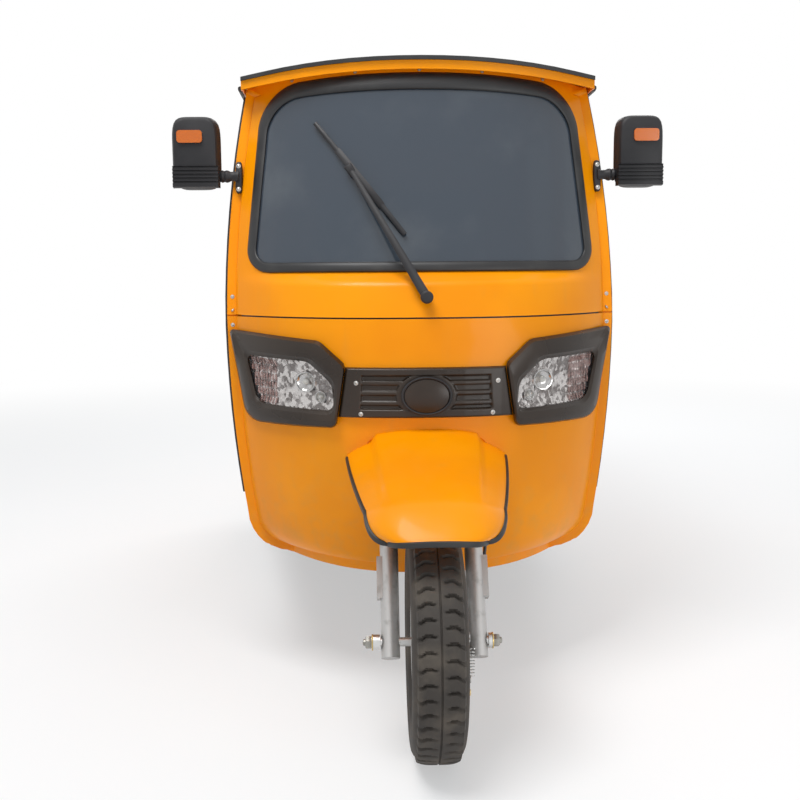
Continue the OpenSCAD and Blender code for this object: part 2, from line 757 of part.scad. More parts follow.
// Half width and middle height along the fender, 0 at the nose and 1 at the lip.
function fender_w(v) = v < 0.86 ? lerp(fender_half, fender_nose_half, pow(v / 0.86, 1.3))
  : fender_nose_half - 44 * (1 - sqrt(1 - pow((v - 0.86) / 0.14, 2)));
function fender_mid_z(v) = fender_top_z - 8 - 92 * v - (fender_top_z - fender_lip_z - 100) * pow(v, 6);
function fender_drop(v) = lerp(62, 34, min(1, v * 1.1)) * (1 - pow(v, 8));
function fender_z(u, v) = fender_mid_z(v) - fender_drop(v) * pow(abs(u), 3)
  + (abs(u) < 0.7 ? fender_rise * (1 - v) : 0);
function fender_point(u, v) = let (
    x0 = fender_half * u,
    y0 = skin_y(x0, fender_z(u, 0)) - 2)
  [fender_w(v) * u, lerp(y0, fender_y + 70 * pow(abs(u), 4) * v, v), fender_z(u, v)];
function fender_under(u, v) = let (p = fender_point(u, v))
  [p[0] * (1 - fender_t / fender_w(v)), p[1] + fender_t * v, p[2] - fender_t];

module front_fender() {
  steps = [for (k = [0:fender_n]) 1 - pow(1 - k / fender_n, 1.4)];
  color(paint) slab(
    [for (v = [for (k = [fender_n:-1:0]) steps[k]]) [for (u = fender_cols) fender_point(u, v)]],
    [for (v = [for (k = [fender_n:-1:0]) steps[k]]) [for (u = fender_cols) fender_under(u, v)]]);
}

// Rubber lip along the free edge of the fender.
module fender_lip() {
  steps = [for (k = [0:fender_n]) max(0.03, 1 - pow(1 - k / fender_n, 1.4))];
  edge = concat(
    [for (k = [0:fender_n]) fender_point(-1, steps[k])],
    [for (i = [1:len(fender_cols) - 2]) fender_point(fender_cols[i], 1)],
    [for (k = [fender_n:-1:0]) fender_point(1, steps[k])]);
  function inward(p, d) = [p[0] * (1 - d / fender_half), p[1] + d * 0.5, p[2]];
  function low(p, d) = p - [0, 0, d];
  color(black) slab(
    [[for (p = edge) low(inward(p, 1), fender_t + lip_h)], [for (p = edge) low(inward(p, 1), fender_t + seat_gap)]],
    [[for (p = edge) low(inward(p, 7), fender_t + lip_h)], [for (p = edge) low(inward(p, 7), fender_t + seat_gap)]]);
}

// Roof and trim

roof_rows = 10;
roof_cols = [for (i = [-8:8]) i / 8];

function roof_y(u, v) = lerp(roof_front_y + roof_sweep * pow(abs(u), 2.4), roof_back_y, v);
function roof_point(u, v, lift) = let (y = roof_y(u, v), x = roof_half(y) * u)
  [x, y, under_roof(x, y) + lift];

module roof_panel() {
  // a turned-down flange all round: the outer rows and columns drop
  function grid(lift, drop, shrink) = concat(
    [[for (u = concat([-1], roof_cols, [1])) roof_point(u, 0, -drop) + [0, shrink, 0]]],
    [for (k = [0:roof_rows]) concat(
      [roof_point(-1, k / roof_rows, -drop) + [shrink, k == 0 ? shrink : 0, 0]],
      [for (u = roof_cols) roof_point(u, k / roof_rows, lift)
        + [-shrink * pow(u, 9), k == 0 ? shrink : 0, 0]],
      [roof_point(1, k / roof_rows, -drop) + [-shrink, k == 0 ? shrink : 0, 0]])]);
  color(paint) slab(
    [for (r = grid(roof_t, 14, 0)) r],
    [for (r = grid(0, 14, 5)) r]);
}

// Rubber edging down both sides of the hoop and along the front of the roof.
trim_w = 10;
trim_foot_z = 507;

module edge_trim() {
  z_list = [for (i = [0:14]) lerp(trim_foot_z, eave_z - 18, i / 14)];
  function out(z, d, y) = [side_half(z) + d, edge_y(z) + y, z];
  y0 = hoop_depth - 22;
  y1 = hoop_depth - 4;
  color(black) union() {
    both_sides() slab(
      [for (z = z_list) [out(z, seat_gap, y0), out(z, trim_w, y0)]],
      [for (z = z_list) [out(z, seat_gap, y1), out(z, trim_w, y1)]]);
    slab(
      [for (s = [0, 1]) [for (u = roof_cols) roof_point(u, 0, roof_t - 8 + 10 * s) - [0, 7, 0]]],
      [for (s = [0, 1]) [for (u = roof_cols) roof_point(u, 0, roof_t - 8 + 10 * s) - [0, seat_gap, 0]]]);
  }
}

// Shelf under the screen, carried by the hoop at both ends, with an instrument pod.
dash_z0 = 1000;
dash_z1 = 1058;
dash_end = 400;

module dashboard() {
  half = side_half(dash_z1) - hoop_wall - seat_gap;
  function front(x) = abs(x) > dash_end ? hoop_y + 4 : skin_y(x, dash_z1) + skin + 26;
  function back(x) = abs(x) > dash_end ? hoop_y + 34
    : front(x) + 20 + 72 * (1 - pow(x / dash_end, 2));
  cols = [for (i = [-12:12]) half * i / 12];
  color(black) union() {
    translate([0, 0, dash_z0]) linear_extrude(dash_z1 - dash_z0) polygon(concat(
      [for (x = cols) [x, front(x)]],
      [for (i = [len(cols) - 1:-1:0]) [cols[i], back(cols[i])]]));
    along_x(-120, 120) polygon([[front(0) + 44, dash_z1 - 1], [back(0) - 2, dash_z1 - 1],
      [back(0) - 2, dash_z1 + 10], [front(0) + 76, dash_z1 + 50], [front(0) + 60, dash_z1 + 50]]);
  }
}

// Mirrors

arm_z = mirror_z - mirror_h / 2 + 34;
mirror_x = side_half(arm_z) + mirror_stalk + mirror_w / 2;
mirror_y = edge_y(arm_z) - skin - 12;

module mirror_housings() {
  z0 = arm_z - 46;
  z1 = arm_z + 40;
  color(black) both_sides() union() {
    along_y(mirror_y - 34, mirror_y + 22) translate([mirror_x, mirror_z]) rounded(mirror_w, mirror_h, 26);
    rod_x(side_half(arm_z) - 14, mirror_x, mirror_y, arm_z, 18);
    // plate on the face of the hoop
    along_x(side_half(z0) - rim_w + 5, side_half(z0) - 3) polygon([
      [edge_y(z0) - skin - seat_gap, z0], [edge_y(z1) - skin - seat_gap, z1],
      [edge_y(z1) - skin - 16, z1], [edge_y(z0) - skin - 16, z0]]);
  }
}

module mirror_glasses() {
  color(steel) both_sides() along_y(mirror_y + 22 + seat_gap, mirror_y + 26)
    translate([mirror_x, mirror_z]) rounded(mirror_w - 12, mirror_h - 12, 22);
}

module mirror_lamps() {
  color([0.95, 0.45, 0.05]) both_sides() along_y(mirror_y - 40, mirror_y - 34 - seat_gap)
    translate([mirror_x + 12, mirror_z + 40]) rounded(66, 32, 8);
}

// Rear body

post_d = 46;
post_w = 40;
post_inset = 56;
post_foot_x = body_half - post_inset;
post_top_x = roof_half(partition_y) - 6;
post_top_z = under_roof(post_top_x, partition_y) - 6;

// Inner face of a post at a height.
function post_in(z) = lerp(post_foot_x - post_w, post_top_x - post_w,
  max(0, z - rail_z) / (post_top_z - rail_z));

module centre_posts() {
  color(paint) both_sides() along_y(partition_y, partition_y + post_d)
    polygon([[post_foot_x - post_w, floor_z + seat_gap], [post_foot_x, floor_z + seat_gap],
      [post_foot_x, rail_z], [post_top_x, post_top_z], [post_top_x - post_w, post_top_z],
      [post_foot_x - post_w, rail_z]]);
}

grab_z = 1012;
grab_d = 30;
wall_top_z = 860;
wall_t = 20;

module partition() {
  half = post_foot_x - post_w - seat_gap;
  grab_half = post_in(grab_z + grab_d / 2) - seat_gap;
  y = partition_y + 10;
  color(paint) union() {
    box(-half, half, y, y + wall_t, floor_z + seat_gap, wall_top_z);
    rod_x(-grab_half, grab_half, y + wall_t / 2, grab_z, grab_d);
    both_sides() translate([half * 0.55, y + wall_t / 2, wall_top_z - 10])
      cylinder(d = grab_d - 8, h = grab_z - wall_top_z + 10);
  }
}

// Side view of one rear quarter: y, z.
module quarter_outline() {
  polygon([[quarter_y, nose_bottom_z], [quarter_y + 24, 560], [quarter_y + 70, rail_z - 20],
    [quarter_y + 96, rail_z], [tail_y + tail_t, rail_z], [tail_y + tail_t, nose_bottom_z]]);
}

module side_panel(right) {
  color(paint) mirror([right ? 0 : 1, 0, 0]) union() {
    difference() {
      along_x(body_half - side_t, body_half) quarter_outline();
      rod_x(body_half - 60, body_half + 20, rear_axle_y, axle_z, 2 * arch_r);
    }
    // pillar from the rail to the roof, leaning in
    along_y(tail_y - 250, tail_y + tail_t)
      polygon([[body_half - side_t, rail_z - 1], [body_half, rail_z - 1],
        [pillar_top_x + side_t, pillar_top_z], [pillar_top_x, pillar_top_z]]);
  }
}

pillar_top_x = roof_half(tail_y) - 16 - side_t;
pillar_top_z = under_roof(pillar_top_x + side_t, tail_y) - 4;

// Pressed tub: deck under the bench, wheel houses and the front riser.
tub_half = body_half - side_t - seat_gap;
house_x = wheel_x - tyre_w / 2 - 32;
tub_t = 8;

module rear_tub() {
  color(black) difference() {
    union() {
      box(-tub_half, tub_half, bench_y, tail_y - seat_gap, deck_z - tub_t, deck_z);
      box(-house_x, house_x, bench_y, bench_y + tub_t, floor_z + seat_gap, deck_z);
      both_sides() rod_x(house_x - tub_t, tub_half, rear_axle_y, axle_z, 2 * arch_r + 2 * tub_t);
    }
    both_sides() rod_x(house_x, tub_half + 10, rear_axle_y, axle_z, 2 * arch_r);
    both_sides() box(house_x - tub_t - 1, tub_half + 1, rear_axle_y - 400, rear_axle_y + 400, -200, 420);
  }
}

tail_half = body_half - side_t - seat_gap;
lamp_x = 470;

module rear_outline() {
  n = 8;
  head = pillar_top_x - seat_gap;
  polygon(concat(
    [[-tail_half, nose_bottom_z], [tail_half, nose_bottom_z], [tail_half, rail_z - 1], [head, pillar_top_z]],
    [for (i = [n:-1:-n]) let (x = head * i / n) [x, min(under_roof(x, tail_y), under_roof(x, tail_y + tail_t)) - 4]],
    [[-head, pillar_top_z], [-tail_half, rail_z - 1]]));
}

// middle of the rear window below the eave
window_drop = 294;
window_z = eave_z - window_drop;
window_w = 720;
window_h = 300;

module rear_panel() {
  color(paint) union() {
    difference() {
      along_y(tail_y, tail_y + tail_t) rear_outline();
      along_y(tail_y - 1, tail_y + tail_t + 1) translate([0, window_z]) rounded(window_w, window_h, 50);
      along_y(tail_y - 1, tail_y + tail_t + 1)
        translate([0, (lid_bottom_z + lid_top_z) / 2]) rounded(2 * lid_half, lid_top_z - lid_bottom_z, 30);
    }
    both_sides() hinge_bracket();
  }
}

module rear_window() {
  color([0.25, 0.3, 0.34, 0.6]) along_y(tail_y + 8, tail_y + 14)
    translate([0, window_z]) rounded(window_w - 2 * seat_gap, window_h - 2 * seat_gap, 50);
}

// Lid hinge: pins on the body, barrels on the lid
hinge_y = tail_y + tail_t + 14;
hinge_z = lid_top_z + 16;
hinge_x = 220;
barrel_l = 60;

module hinge_bracket() {
  for (x = [hinge_x - barrel_l / 2 - 16, hinge_x + barrel_l / 2 + 6])
    box(x, x + 10, tail_y + tail_t - 1, hinge_y + 9, hinge_z - 9, hinge_z + 9);
  rod_x(hinge_x - barrel_l / 2 - 10, hinge_x + barrel_l / 2 + 10, hinge_y, hinge_z, pin_d);
}

module rear_lid() {
  color(paint) difference() {
    union() {
      along_y(tail_y + 2, tail_y + tail_t) translate([0, (lid_bottom_z + lid_top_z) / 2])
        rounded(2 * (lid_half - lid_gap), lid_top_z - lid_bottom_z - 2 * lid_gap, 26);
      both_sides() rod_x(hinge_x - barrel_l / 2, hinge_x + barrel_l / 2, hinge_y, hinge_z, pin_d + 10);
      both_sides() box(hinge_x - barrel_l / 2, hinge_x + barrel_l / 2, hinge_y - 9, hinge_y + 9,
        lid_top_z - 60, hinge_z);
      both_sides() box(hinge_x - barrel_l / 2, hinge_x + barrel_l / 2, tail_y + tail_t - 1, hinge_y + 9,
        lid_top_z - 60, lid_top_z - 30);
      box(-70, 70, tail_y + tail_t - 1, tail_y + tail_t + 16, lid_bottom_z + 30, lid_bottom_z + 50);
    }
    both_sides() rod_x(hinge_x - 100, hinge_x + 100, hinge_y, hinge_z, pin_d + 2 * run_gap);
  }
}

module tail_lamps() {
  color([0.6, 0.04, 0.03]) both_sides() along_y(tail_y + tail_t + seat_gap, tail_y + tail_t + 26)
    translate([lamp_x, 900]) rounded(84, 240, 20);
}

bumper_z = 400;

module rear_bumper() {
  color(black) difference() {
    union() {
      along_y(rear_end_y - 26, rear_end_y) translate([0, bumper_z]) rounded(1000, 80, 30);
      both_sides() box(rail_x - 15, rail_x + 15, tail_y + tail_t + seat_gap, rear_end_y - 20, bumper_z - 30, bumper_z + 30);
      box(-30, 30, rear_end_y - 60, rear_end_y - 1, bumper_z - 46, bumper_z - 30);
    }
    translate([0, rear_end_y - 42, bumper_z - 60]) cylinder(d = tow_bore, h = 60);
    for (x = [-1, 1]) translate([x * plate_pitch / 2, rear_end_y - 40, bumper_z])
      rotate([-90, 0, 0]) cylinder(d = plate_hole, h = 60);
  }
}

// Seats

module cushion(w, d, h, r) {
  linear_extrude(h) translate([0, d / 2]) rounded(w, d, r);
}

driver_seat_z = 600;

module driver_pedestal() {
  color(black) box(-driver_w / 2 + 40, driver_w / 2 - 40, driver_y + 30, driver_y + driver_d,
    floor_z + seat_gap, driver_seat_z - seat_gap);
}

module driver_cushion() {
  color(black) translate([0, driver_y, driver_seat_z]) cushion(driver_w, driver_d, cushion_t, 40);
}

module driver_back() {
  color(black) along_y(partition_y + 10 - seat_gap - 70, partition_y + 10 - seat_gap)
    translate([0, (driver_seat_z + cushion_t + 8 + grab_z - grab_d / 2 - 8) / 2])
      rounded(driver_w, grab_z - grab_d / 2 - 16 - driver_seat_z - cushion_t, 40);
}

bench_half = tub_half - 12;

module bench_cushion() {
  color(black) translate([0, bench_y - 10, deck_z + seat_gap]) cushion(2 * bench_half, bench_d, cushion_t, 40);
}

module bench_back() {
  color(black) along_y(bench_y + bench_d, bench_y + bench_d + back_t)
    translate([0, deck_z + 20 + back_h / 2]) rounded(2 * bench_half - 8, back_h, 40);
}

module battery_pack() {
  color(black) box(-rail_x - rail_w / 2, rail_x + rail_w / 2, bench_y + 70, bench_y + 500,
    rail_top + seat_gap, deck_z - tub_t - 40);
}

// Rear axle

axle_d = 70;
hub_x = wheel_x - 46;

module rear_axle() {
  color(black) union() {
    rod_x(-hub_x + 14, hub_x - 14, rear_axle_y, axle_z, axle_d);
    rod_x(-wheel_x - 40, wheel_x + 40, rear_axle_y, axle_z, spindle_d);
    rod_x(-90, 60, rear_axle_y, axle_z, 190);
    translate([-90, rear_axle_y - 190, axle_z - 60]) cube([150, 190, 120]);
  }
}

leaf_r = 900;
leaf_t = 8;
spring_x = rail_x + 70;

module leaf_springs() {
  color(black) both_sides() along_x(spring_x - 25, spring_x + 25) intersection() {
    translate([rear_axle_y, axle_z + axle_d / 2 + seat_gap + leaf_r]) difference() {
      circle(leaf_r, $fn = 200);
      circle(leaf_r - 3 * leaf_t, $fn = 200);
    }
    translate([rear_axle_y - 300, 0]) square([600, 420]);
  }
}

// Steering body

leg_foot = -36;
leg_mid = 250;
crown_z0 = 360;
crown_z1 = 388;
stem_top = 834;

module fork() {
  color(steel) at_steering() difference() {
    union() {
      both_sides() translate([fork_half, -fork_offset, leg_foot]) cylinder(d = slider_d, h = leg_mid - leg_foot);
      both_sides() translate([fork_half, -fork_offset, leg_mid - 20]) cylinder(d = slider_d + 8, h = 20);
      both_sides() translate([fork_half, -fork_offset, leg_mid - 1]) cylinder(d = stanchion_d, h = crown_z1 - leg_mid + 3);
      both_sides() translate([fork_half, -fork_offset, crown_z0]) cylinder(d = stanchion_d + 22, h = crown_z1 - crown_z0);
      translate([-fork_half, -fork_offset - 20, crown_z0]) cube([2 * fork_half, fork_offset + 44, crown_z1 - crown_z0]);
      translate([0, 0, crown_z0]) cylinder(d = stem_d, h = stem_top - crown_z0);
      // flat plate on the outer side of each leg
      both_sides() translate([fork_half + slider_d / 2 - 6, -fork_offset - 14, 96]) cube([14, 28, 96]);
    }
    both_sides() translate([fork_half - 60, -fork_offset, 0]) rotate([0, 90, 0])
      cylinder(d = spindle_d + 0.2, h = 120);
  }
}

module handlebar() {
  half = [[0, 0, 846], [60, 0, 848], [140, 26, 884], [200, 76, 916], [236, 114, 922], [bar_half, 150, 924]];
  path = concat([for (i = [len(half) - 1:-1:1]) [-half[i][0], half[i][1], half[i][2]]], half);
  grip = bar_d / 2 + 6;
  bar = bar_d / 2;
  color(black) at_steering() union() {
    tube(path, [grip, grip, bar, bar, bar, bar, bar, bar, bar, grip, grip], 12);
    // clamp on top of the stem
    box(-24, 24, -18, 18, stem_top + seat_gap, stem_top + 34);
  }
}

module front_spindle() {
  color(steel) union() {
    rod_x(-fork_half - 46, fork_half + 40, front_axle_y, axle_z, spindle_d);
    rod_x(-fork_half - 42, -fork_half - slider_d / 2 - 2, front_axle_y, axle_z, 34);
    rod_x(fork_half + slider_d / 2 + 2, fork_half + 34, front_axle_y, axle_z, 34);
  }
}

// Brake plate inside the right leg, its arm, return spring and adjuster.
plate_x = 50;
plate_d = 150;
arm_x = 66;
arm_drop = 78;
cam_y = front_axle_y - 40;

module front_brake() {
  color(steel) difference() {
    union() {
      rod_x(plate_x, plate_x + 8, front_axle_y, axle_z, plate_d);
      rod_x(plate_x + 8, fork_half - slider_d / 2 - 1, front_axle_y, axle_z, 40);
      rod_x(plate_x + 7, arm_x + 10, cam_y, axle_z + 26, 16);
      along_x(arm_x, arm_x + 7) polygon([[cam_y - 10, axle_z + 34], [cam_y + 10, axle_z + 34],
        [cam_y + 7, axle_z - arm_drop], [cam_y - 7, axle_z - arm_drop]]);
      // fork of the arm, the adjuster barrel and the rod with its spring cup
      rod_x(arm_x - 3, arm_x + 12, cam_y, axle_z - arm_drop + 4, 16);
      translate([arm_x + 3.5, cam_y, axle_z - arm_drop - 20]) cylinder(d = 13, h = 22, $fn = 6);
      translate([arm_x + 3.5, cam_y, axle_z - arm_drop - 26]) cylinder(d = 6, h = 30);
      translate([arm_x + 3.5, cam_y + 16, axle_z - 6]) rotate([-90, 0, 0]) cylinder(d = 9, h = 12);
    }
    rod_x(0, 200, front_axle_y, axle_z, spindle_d + 0.2);
  }
}

// Cable from the crown's right end down behind the leg to the brake arm.
cable_d = 8;

module brake_cable() {
  // steering frame: x, y, z
  route = [[fork_half + 34, -fork_offset, crown_z0 - 10], [fork_half + 36, -fork_offset + 14, 310],
    [fork_half + 34, -fork_offset + 34, 240], [fork_half + 22, -fork_offset + 48, 160],
    [fork_half, -fork_offset + 56, 80], [fork_half - 18, -fork_offset + 44, 10],
    [fork_half - 26, -fork_offset + 26, -44], [fork_half - 28, -fork_offset + 12, -72],
    [fork_half - 28.2, -fork_offset + 7.6, -77.5]];
  color(black) at_steering() union() {
    tube(route, [for (p = route) cable_d / 2], 8);
    // stop that hangs from the crown
    translate([fork_half + stanchion_d / 2 + 1, -fork_offset - 6, crown_z0 - 12 - seat_gap]) cube([24, 12, 12]);
  }
}

// Wheels about their own axis, which lies along x

module rim() {
  flange = rim_r + 13;
  w = tyre_w / 2 - 12;
  difference() {
    union() {
      rotate([0, 90, 0]) rotate_extrude() polygon([
        [rim_r - 5, -w + 4], [flange, -w], [flange, -w + 5], [rim_r - seat_gap, -w + 8],
        [rim_r - seat_gap, -18], [rim_r - 16, -12], [rim_r - 16, 12], [rim_r - seat_gap, 18],
        [rim_r - seat_gap, w - 8], [flange, w - 5], [flange, w], [rim_r - 5, w - 4],
        [rim_r - 21, 12], [rim_r - 21, -12]]);
      rod_x(-5, 5, 0, 0, 2 * rim_r - 34);
      rod_x(-40, 44, 0, 0, 70);
      rod_x(0, 44, 0, 0, 170);
    }
    rod_x(-100, 100, 0, 0, spindle_d + 2 * run_gap);
    rod_x(34, 60, 0, 0, 156);
    for (k = [1:vent_holes]) rotate([360 * k / vent_holes, 0, 0])
      rod_x(-60, 60, 0, rim_r * 0.73, vent_d);
  }
}

module tyre() {
  half = tyre_w / 2;
  bead = half - 20;
  section = [[rim_r + 1, bead - 4], [rim_r + 1, bead], [rim_r + 14.5, bead + 1], [rim_r + 22, bead + 7],
    [rim_r + 40, half - 3],
    [rim_r + 62, half], [tyre_r - 36, half - 1], [tyre_r - 18, half - 6], [tyre_r - 6, half - 14],
    [tyre_r - 2, half - 30], [tyre_r, half - 50]];
  inside = [[tyre_r - 24, half - 44], [tyre_r - 34, half - 14], [rim_r + 50, half - 12], [rim_r + 24, bead - 8]];
  flip = [for (i = [len(section) - 1:-1:0]) [section[i][0], -section[i][1]]];
  flip_in = [for (i = [0:len(inside) - 1]) [inside[i][0], -inside[i][1]]];
  rotate([0, 90, 0]) rotate_extrude() polygon(concat(section, flip,
    [for (i = [len(flip_in) - 1:-1:0]) flip_in[i]], inside));
}

module front_rim() {
  color(steel) translate([0, front_axle_y, axle_z]) rim();
}

module front_tyre() {
  color(black) translate([0, front_axle_y, axle_z]) tyre();
}

module rear_rim(s) {
  color(steel) translate([s * wheel_x, rear_axle_y, axle_z]) mirror([s > 0 ? 1 : 0, 0, 0]) rim();
}

module rear_tyre(s) {
  color(black) translate([s * wheel_x, rear_axle_y, axle_z]) tyre();
}

on_wheels() chassis_frame();
on_wheels() floor_pan();
on_wheels() side_sills();
on_wheels() cab_hoop();
on_wheels() nose_panel();
on_wheels() arch_liner();
on_wheels() steering_head();
on_wheels() screen_surround();
on_wheels() screen_seal();
on_wheels() windscreen();
on_wheels() grille_panel();
on_wheels() lamp_bezels();
on_wheels() lamp_bowls();
on_wheels() lamp_lenses();
on_wheels() wiper();
on_wheels() front_fender();
on_wheels() fender_lip();
on_wheels() roof_panel();
on_wheels() edge_trim();
on_wheels() dashboard();
on_wheels() mirror_housings();
on_wheels() mirror_glasses();
on_wheels() mirror_lamps();
on_wheels() centre_posts();
on_wheels() partition();
on_wheels() side_panel(false);  // side_panel_left
on_wheels() side_panel(true);  // side_panel_right
on_wheels() rear_tub();
on_wheels() rear_panel();
on_wheels() rear_window();
on_wheels() rear_lid();
on_wheels() tail_lamps();
on_wheels() rear_bumper();
on_wheels() driver_pedestal();
on_wheels() driver_cushion();
on_wheels() driver_back();
on_wheels() bench_cushion();
on_wheels() bench_back();
on_wheels() battery_pack();
on_wheels() rear_axle();
on_wheels() leaf_springs();
on_wheels() fork();
on_wheels() handlebar();
on_wheels() front_spindle();
on_wheels() front_brake();
on_wheels() brake_cable();
on_wheels() front_rim();
on_wheels() front_tyre();
on_wheels() rear_rim(-1);  // rear_rim_left
on_wheels() rear_tyre(-1);  // rear_tyre_left
on_wheels() rear_rim(1);  // rear_rim_right
on_wheels() rear_tyre(1);  // rear_tyre_right
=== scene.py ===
"""Finishes, trim, treads, lamps, seats and studio of a three-wheeled electric utility cart."""

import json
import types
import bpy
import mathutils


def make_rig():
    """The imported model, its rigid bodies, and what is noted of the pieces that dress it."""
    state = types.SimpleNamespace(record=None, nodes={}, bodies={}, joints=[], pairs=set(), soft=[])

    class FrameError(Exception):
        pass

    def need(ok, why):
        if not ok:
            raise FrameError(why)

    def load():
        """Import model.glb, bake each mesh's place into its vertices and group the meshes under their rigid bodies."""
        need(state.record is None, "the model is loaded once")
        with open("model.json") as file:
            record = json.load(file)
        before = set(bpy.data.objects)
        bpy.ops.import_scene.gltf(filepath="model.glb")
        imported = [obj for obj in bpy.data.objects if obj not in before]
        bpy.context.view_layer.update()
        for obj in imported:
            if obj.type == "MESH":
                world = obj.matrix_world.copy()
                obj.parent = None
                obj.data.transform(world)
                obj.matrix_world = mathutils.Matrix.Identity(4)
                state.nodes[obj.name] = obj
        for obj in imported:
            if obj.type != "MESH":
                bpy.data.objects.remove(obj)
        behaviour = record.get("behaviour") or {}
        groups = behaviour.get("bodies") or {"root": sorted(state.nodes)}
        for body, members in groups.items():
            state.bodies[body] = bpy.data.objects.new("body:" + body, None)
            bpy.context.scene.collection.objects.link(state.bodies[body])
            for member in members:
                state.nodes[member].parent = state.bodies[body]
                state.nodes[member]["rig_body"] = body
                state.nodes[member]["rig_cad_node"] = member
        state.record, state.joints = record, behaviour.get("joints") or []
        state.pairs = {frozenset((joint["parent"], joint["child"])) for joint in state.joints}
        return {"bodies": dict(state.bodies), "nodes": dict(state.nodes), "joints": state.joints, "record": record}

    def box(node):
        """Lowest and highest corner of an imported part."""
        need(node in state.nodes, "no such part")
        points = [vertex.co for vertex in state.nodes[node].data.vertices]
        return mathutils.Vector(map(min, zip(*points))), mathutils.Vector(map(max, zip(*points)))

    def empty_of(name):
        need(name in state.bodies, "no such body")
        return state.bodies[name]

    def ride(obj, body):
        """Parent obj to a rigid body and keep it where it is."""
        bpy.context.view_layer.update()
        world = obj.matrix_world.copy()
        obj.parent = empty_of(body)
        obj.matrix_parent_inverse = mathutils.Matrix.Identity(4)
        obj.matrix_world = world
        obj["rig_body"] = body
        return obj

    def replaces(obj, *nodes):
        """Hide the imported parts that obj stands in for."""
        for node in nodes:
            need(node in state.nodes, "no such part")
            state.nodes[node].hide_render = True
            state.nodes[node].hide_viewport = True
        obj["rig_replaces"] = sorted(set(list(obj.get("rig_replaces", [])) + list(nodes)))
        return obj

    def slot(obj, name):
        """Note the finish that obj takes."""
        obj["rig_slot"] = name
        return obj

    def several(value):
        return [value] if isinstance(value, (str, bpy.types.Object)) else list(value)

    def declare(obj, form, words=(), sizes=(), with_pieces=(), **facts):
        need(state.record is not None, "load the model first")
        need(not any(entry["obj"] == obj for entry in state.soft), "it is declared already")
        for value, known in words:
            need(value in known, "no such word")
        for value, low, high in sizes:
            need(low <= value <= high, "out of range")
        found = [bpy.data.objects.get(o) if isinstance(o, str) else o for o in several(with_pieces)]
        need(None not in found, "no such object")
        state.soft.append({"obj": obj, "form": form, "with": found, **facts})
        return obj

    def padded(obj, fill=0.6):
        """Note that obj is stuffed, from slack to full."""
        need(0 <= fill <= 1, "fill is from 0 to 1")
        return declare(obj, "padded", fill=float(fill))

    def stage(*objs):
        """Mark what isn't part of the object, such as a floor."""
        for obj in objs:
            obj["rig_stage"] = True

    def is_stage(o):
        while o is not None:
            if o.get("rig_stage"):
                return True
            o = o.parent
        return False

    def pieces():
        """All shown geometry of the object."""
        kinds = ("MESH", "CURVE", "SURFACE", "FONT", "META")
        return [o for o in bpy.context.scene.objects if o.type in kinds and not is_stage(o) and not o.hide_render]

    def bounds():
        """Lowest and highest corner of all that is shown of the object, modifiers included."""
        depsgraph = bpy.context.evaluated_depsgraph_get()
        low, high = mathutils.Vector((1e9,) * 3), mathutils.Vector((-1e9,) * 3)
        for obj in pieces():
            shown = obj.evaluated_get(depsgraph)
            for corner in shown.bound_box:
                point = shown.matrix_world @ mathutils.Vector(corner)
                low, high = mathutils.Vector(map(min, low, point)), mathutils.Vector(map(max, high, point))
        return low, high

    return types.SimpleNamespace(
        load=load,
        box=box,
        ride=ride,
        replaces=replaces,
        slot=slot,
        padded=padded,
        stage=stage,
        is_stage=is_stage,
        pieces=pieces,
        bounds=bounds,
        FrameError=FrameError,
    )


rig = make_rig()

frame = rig.load()
CAD_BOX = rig.bounds()

import json
import logging
import math
from dataclasses import dataclass, field
from enum import Enum
from typing import Callable, Optional, Sequence, Union

import bmesh
import bpy
from mathutils import Euler, Matrix, Vector
from mathutils.bvhtree import BVHTree

LOG = logging.getLogger("utility_cart")
NODES: dict[str, bpy.types.Object] = frame["nodes"]
Colour = tuple[float, float, float]
Place = tuple[float, float, float]
Spot = tuple[float, float]
Value = Union[float, int, str, tuple, "Wire"]
FRONT_AXLE: Place = (0.0, -1.0995, 0.261)
REAR_AXLE: Place = (0.485, 0.9005, 0.261)
UP, FORWARD, BACKWARD = Vector((0, 0, 1)), Vector((0, -1, 0)), Vector((0, 1, 0))
SIDE_NAMES = {-1: "left", 1: "right"}


class Body(Enum):
    """Bodies of the cart that a piece can ride on."""

    CAB = "body"
    STEERING = "steering"
    FRONT_WHEEL = "front_wheel"
    LEFT_WHEEL = "rear_wheel_left"
    RIGHT_WHEEL = "rear_wheel_right"
    LID = "lid"


class Wire:
    """A node's socket that takes part in plain arithmetic."""

    def __init__(self, sheet: "Sheet", socket: Optional[bpy.types.NodeSocket]) -> None:
        """Keeps the sheet of nodes and the socket."""
        self.sheet = sheet
        self.socket = socket

    def _math(self, operation: str, first: Value, second: Value) -> "Wire":
        """Adds a Math node."""
        return self.sheet.node("ShaderNodeMath", {"operation": operation}, {0: first, 1: second})

    def __add__(self, other: Value) -> "Wire":
        """Sum."""
        return self._math("ADD", self, other)

    def __radd__(self, other: Value) -> "Wire":
        """Sum, with the number first."""
        return self._math("ADD", other, self)

    def __rsub__(self, other: Value) -> "Wire":
        """Difference, with the number first."""
        return self._math("SUBTRACT", other, self)

    def __mul__(self, other: Value) -> "Wire":
        """Product."""
        return self._math("MULTIPLY", self, other)

    def or_more(self, other: Value) -> "Wire":
        """The larger of the two."""
        return self._math("MAXIMUM", self, other)


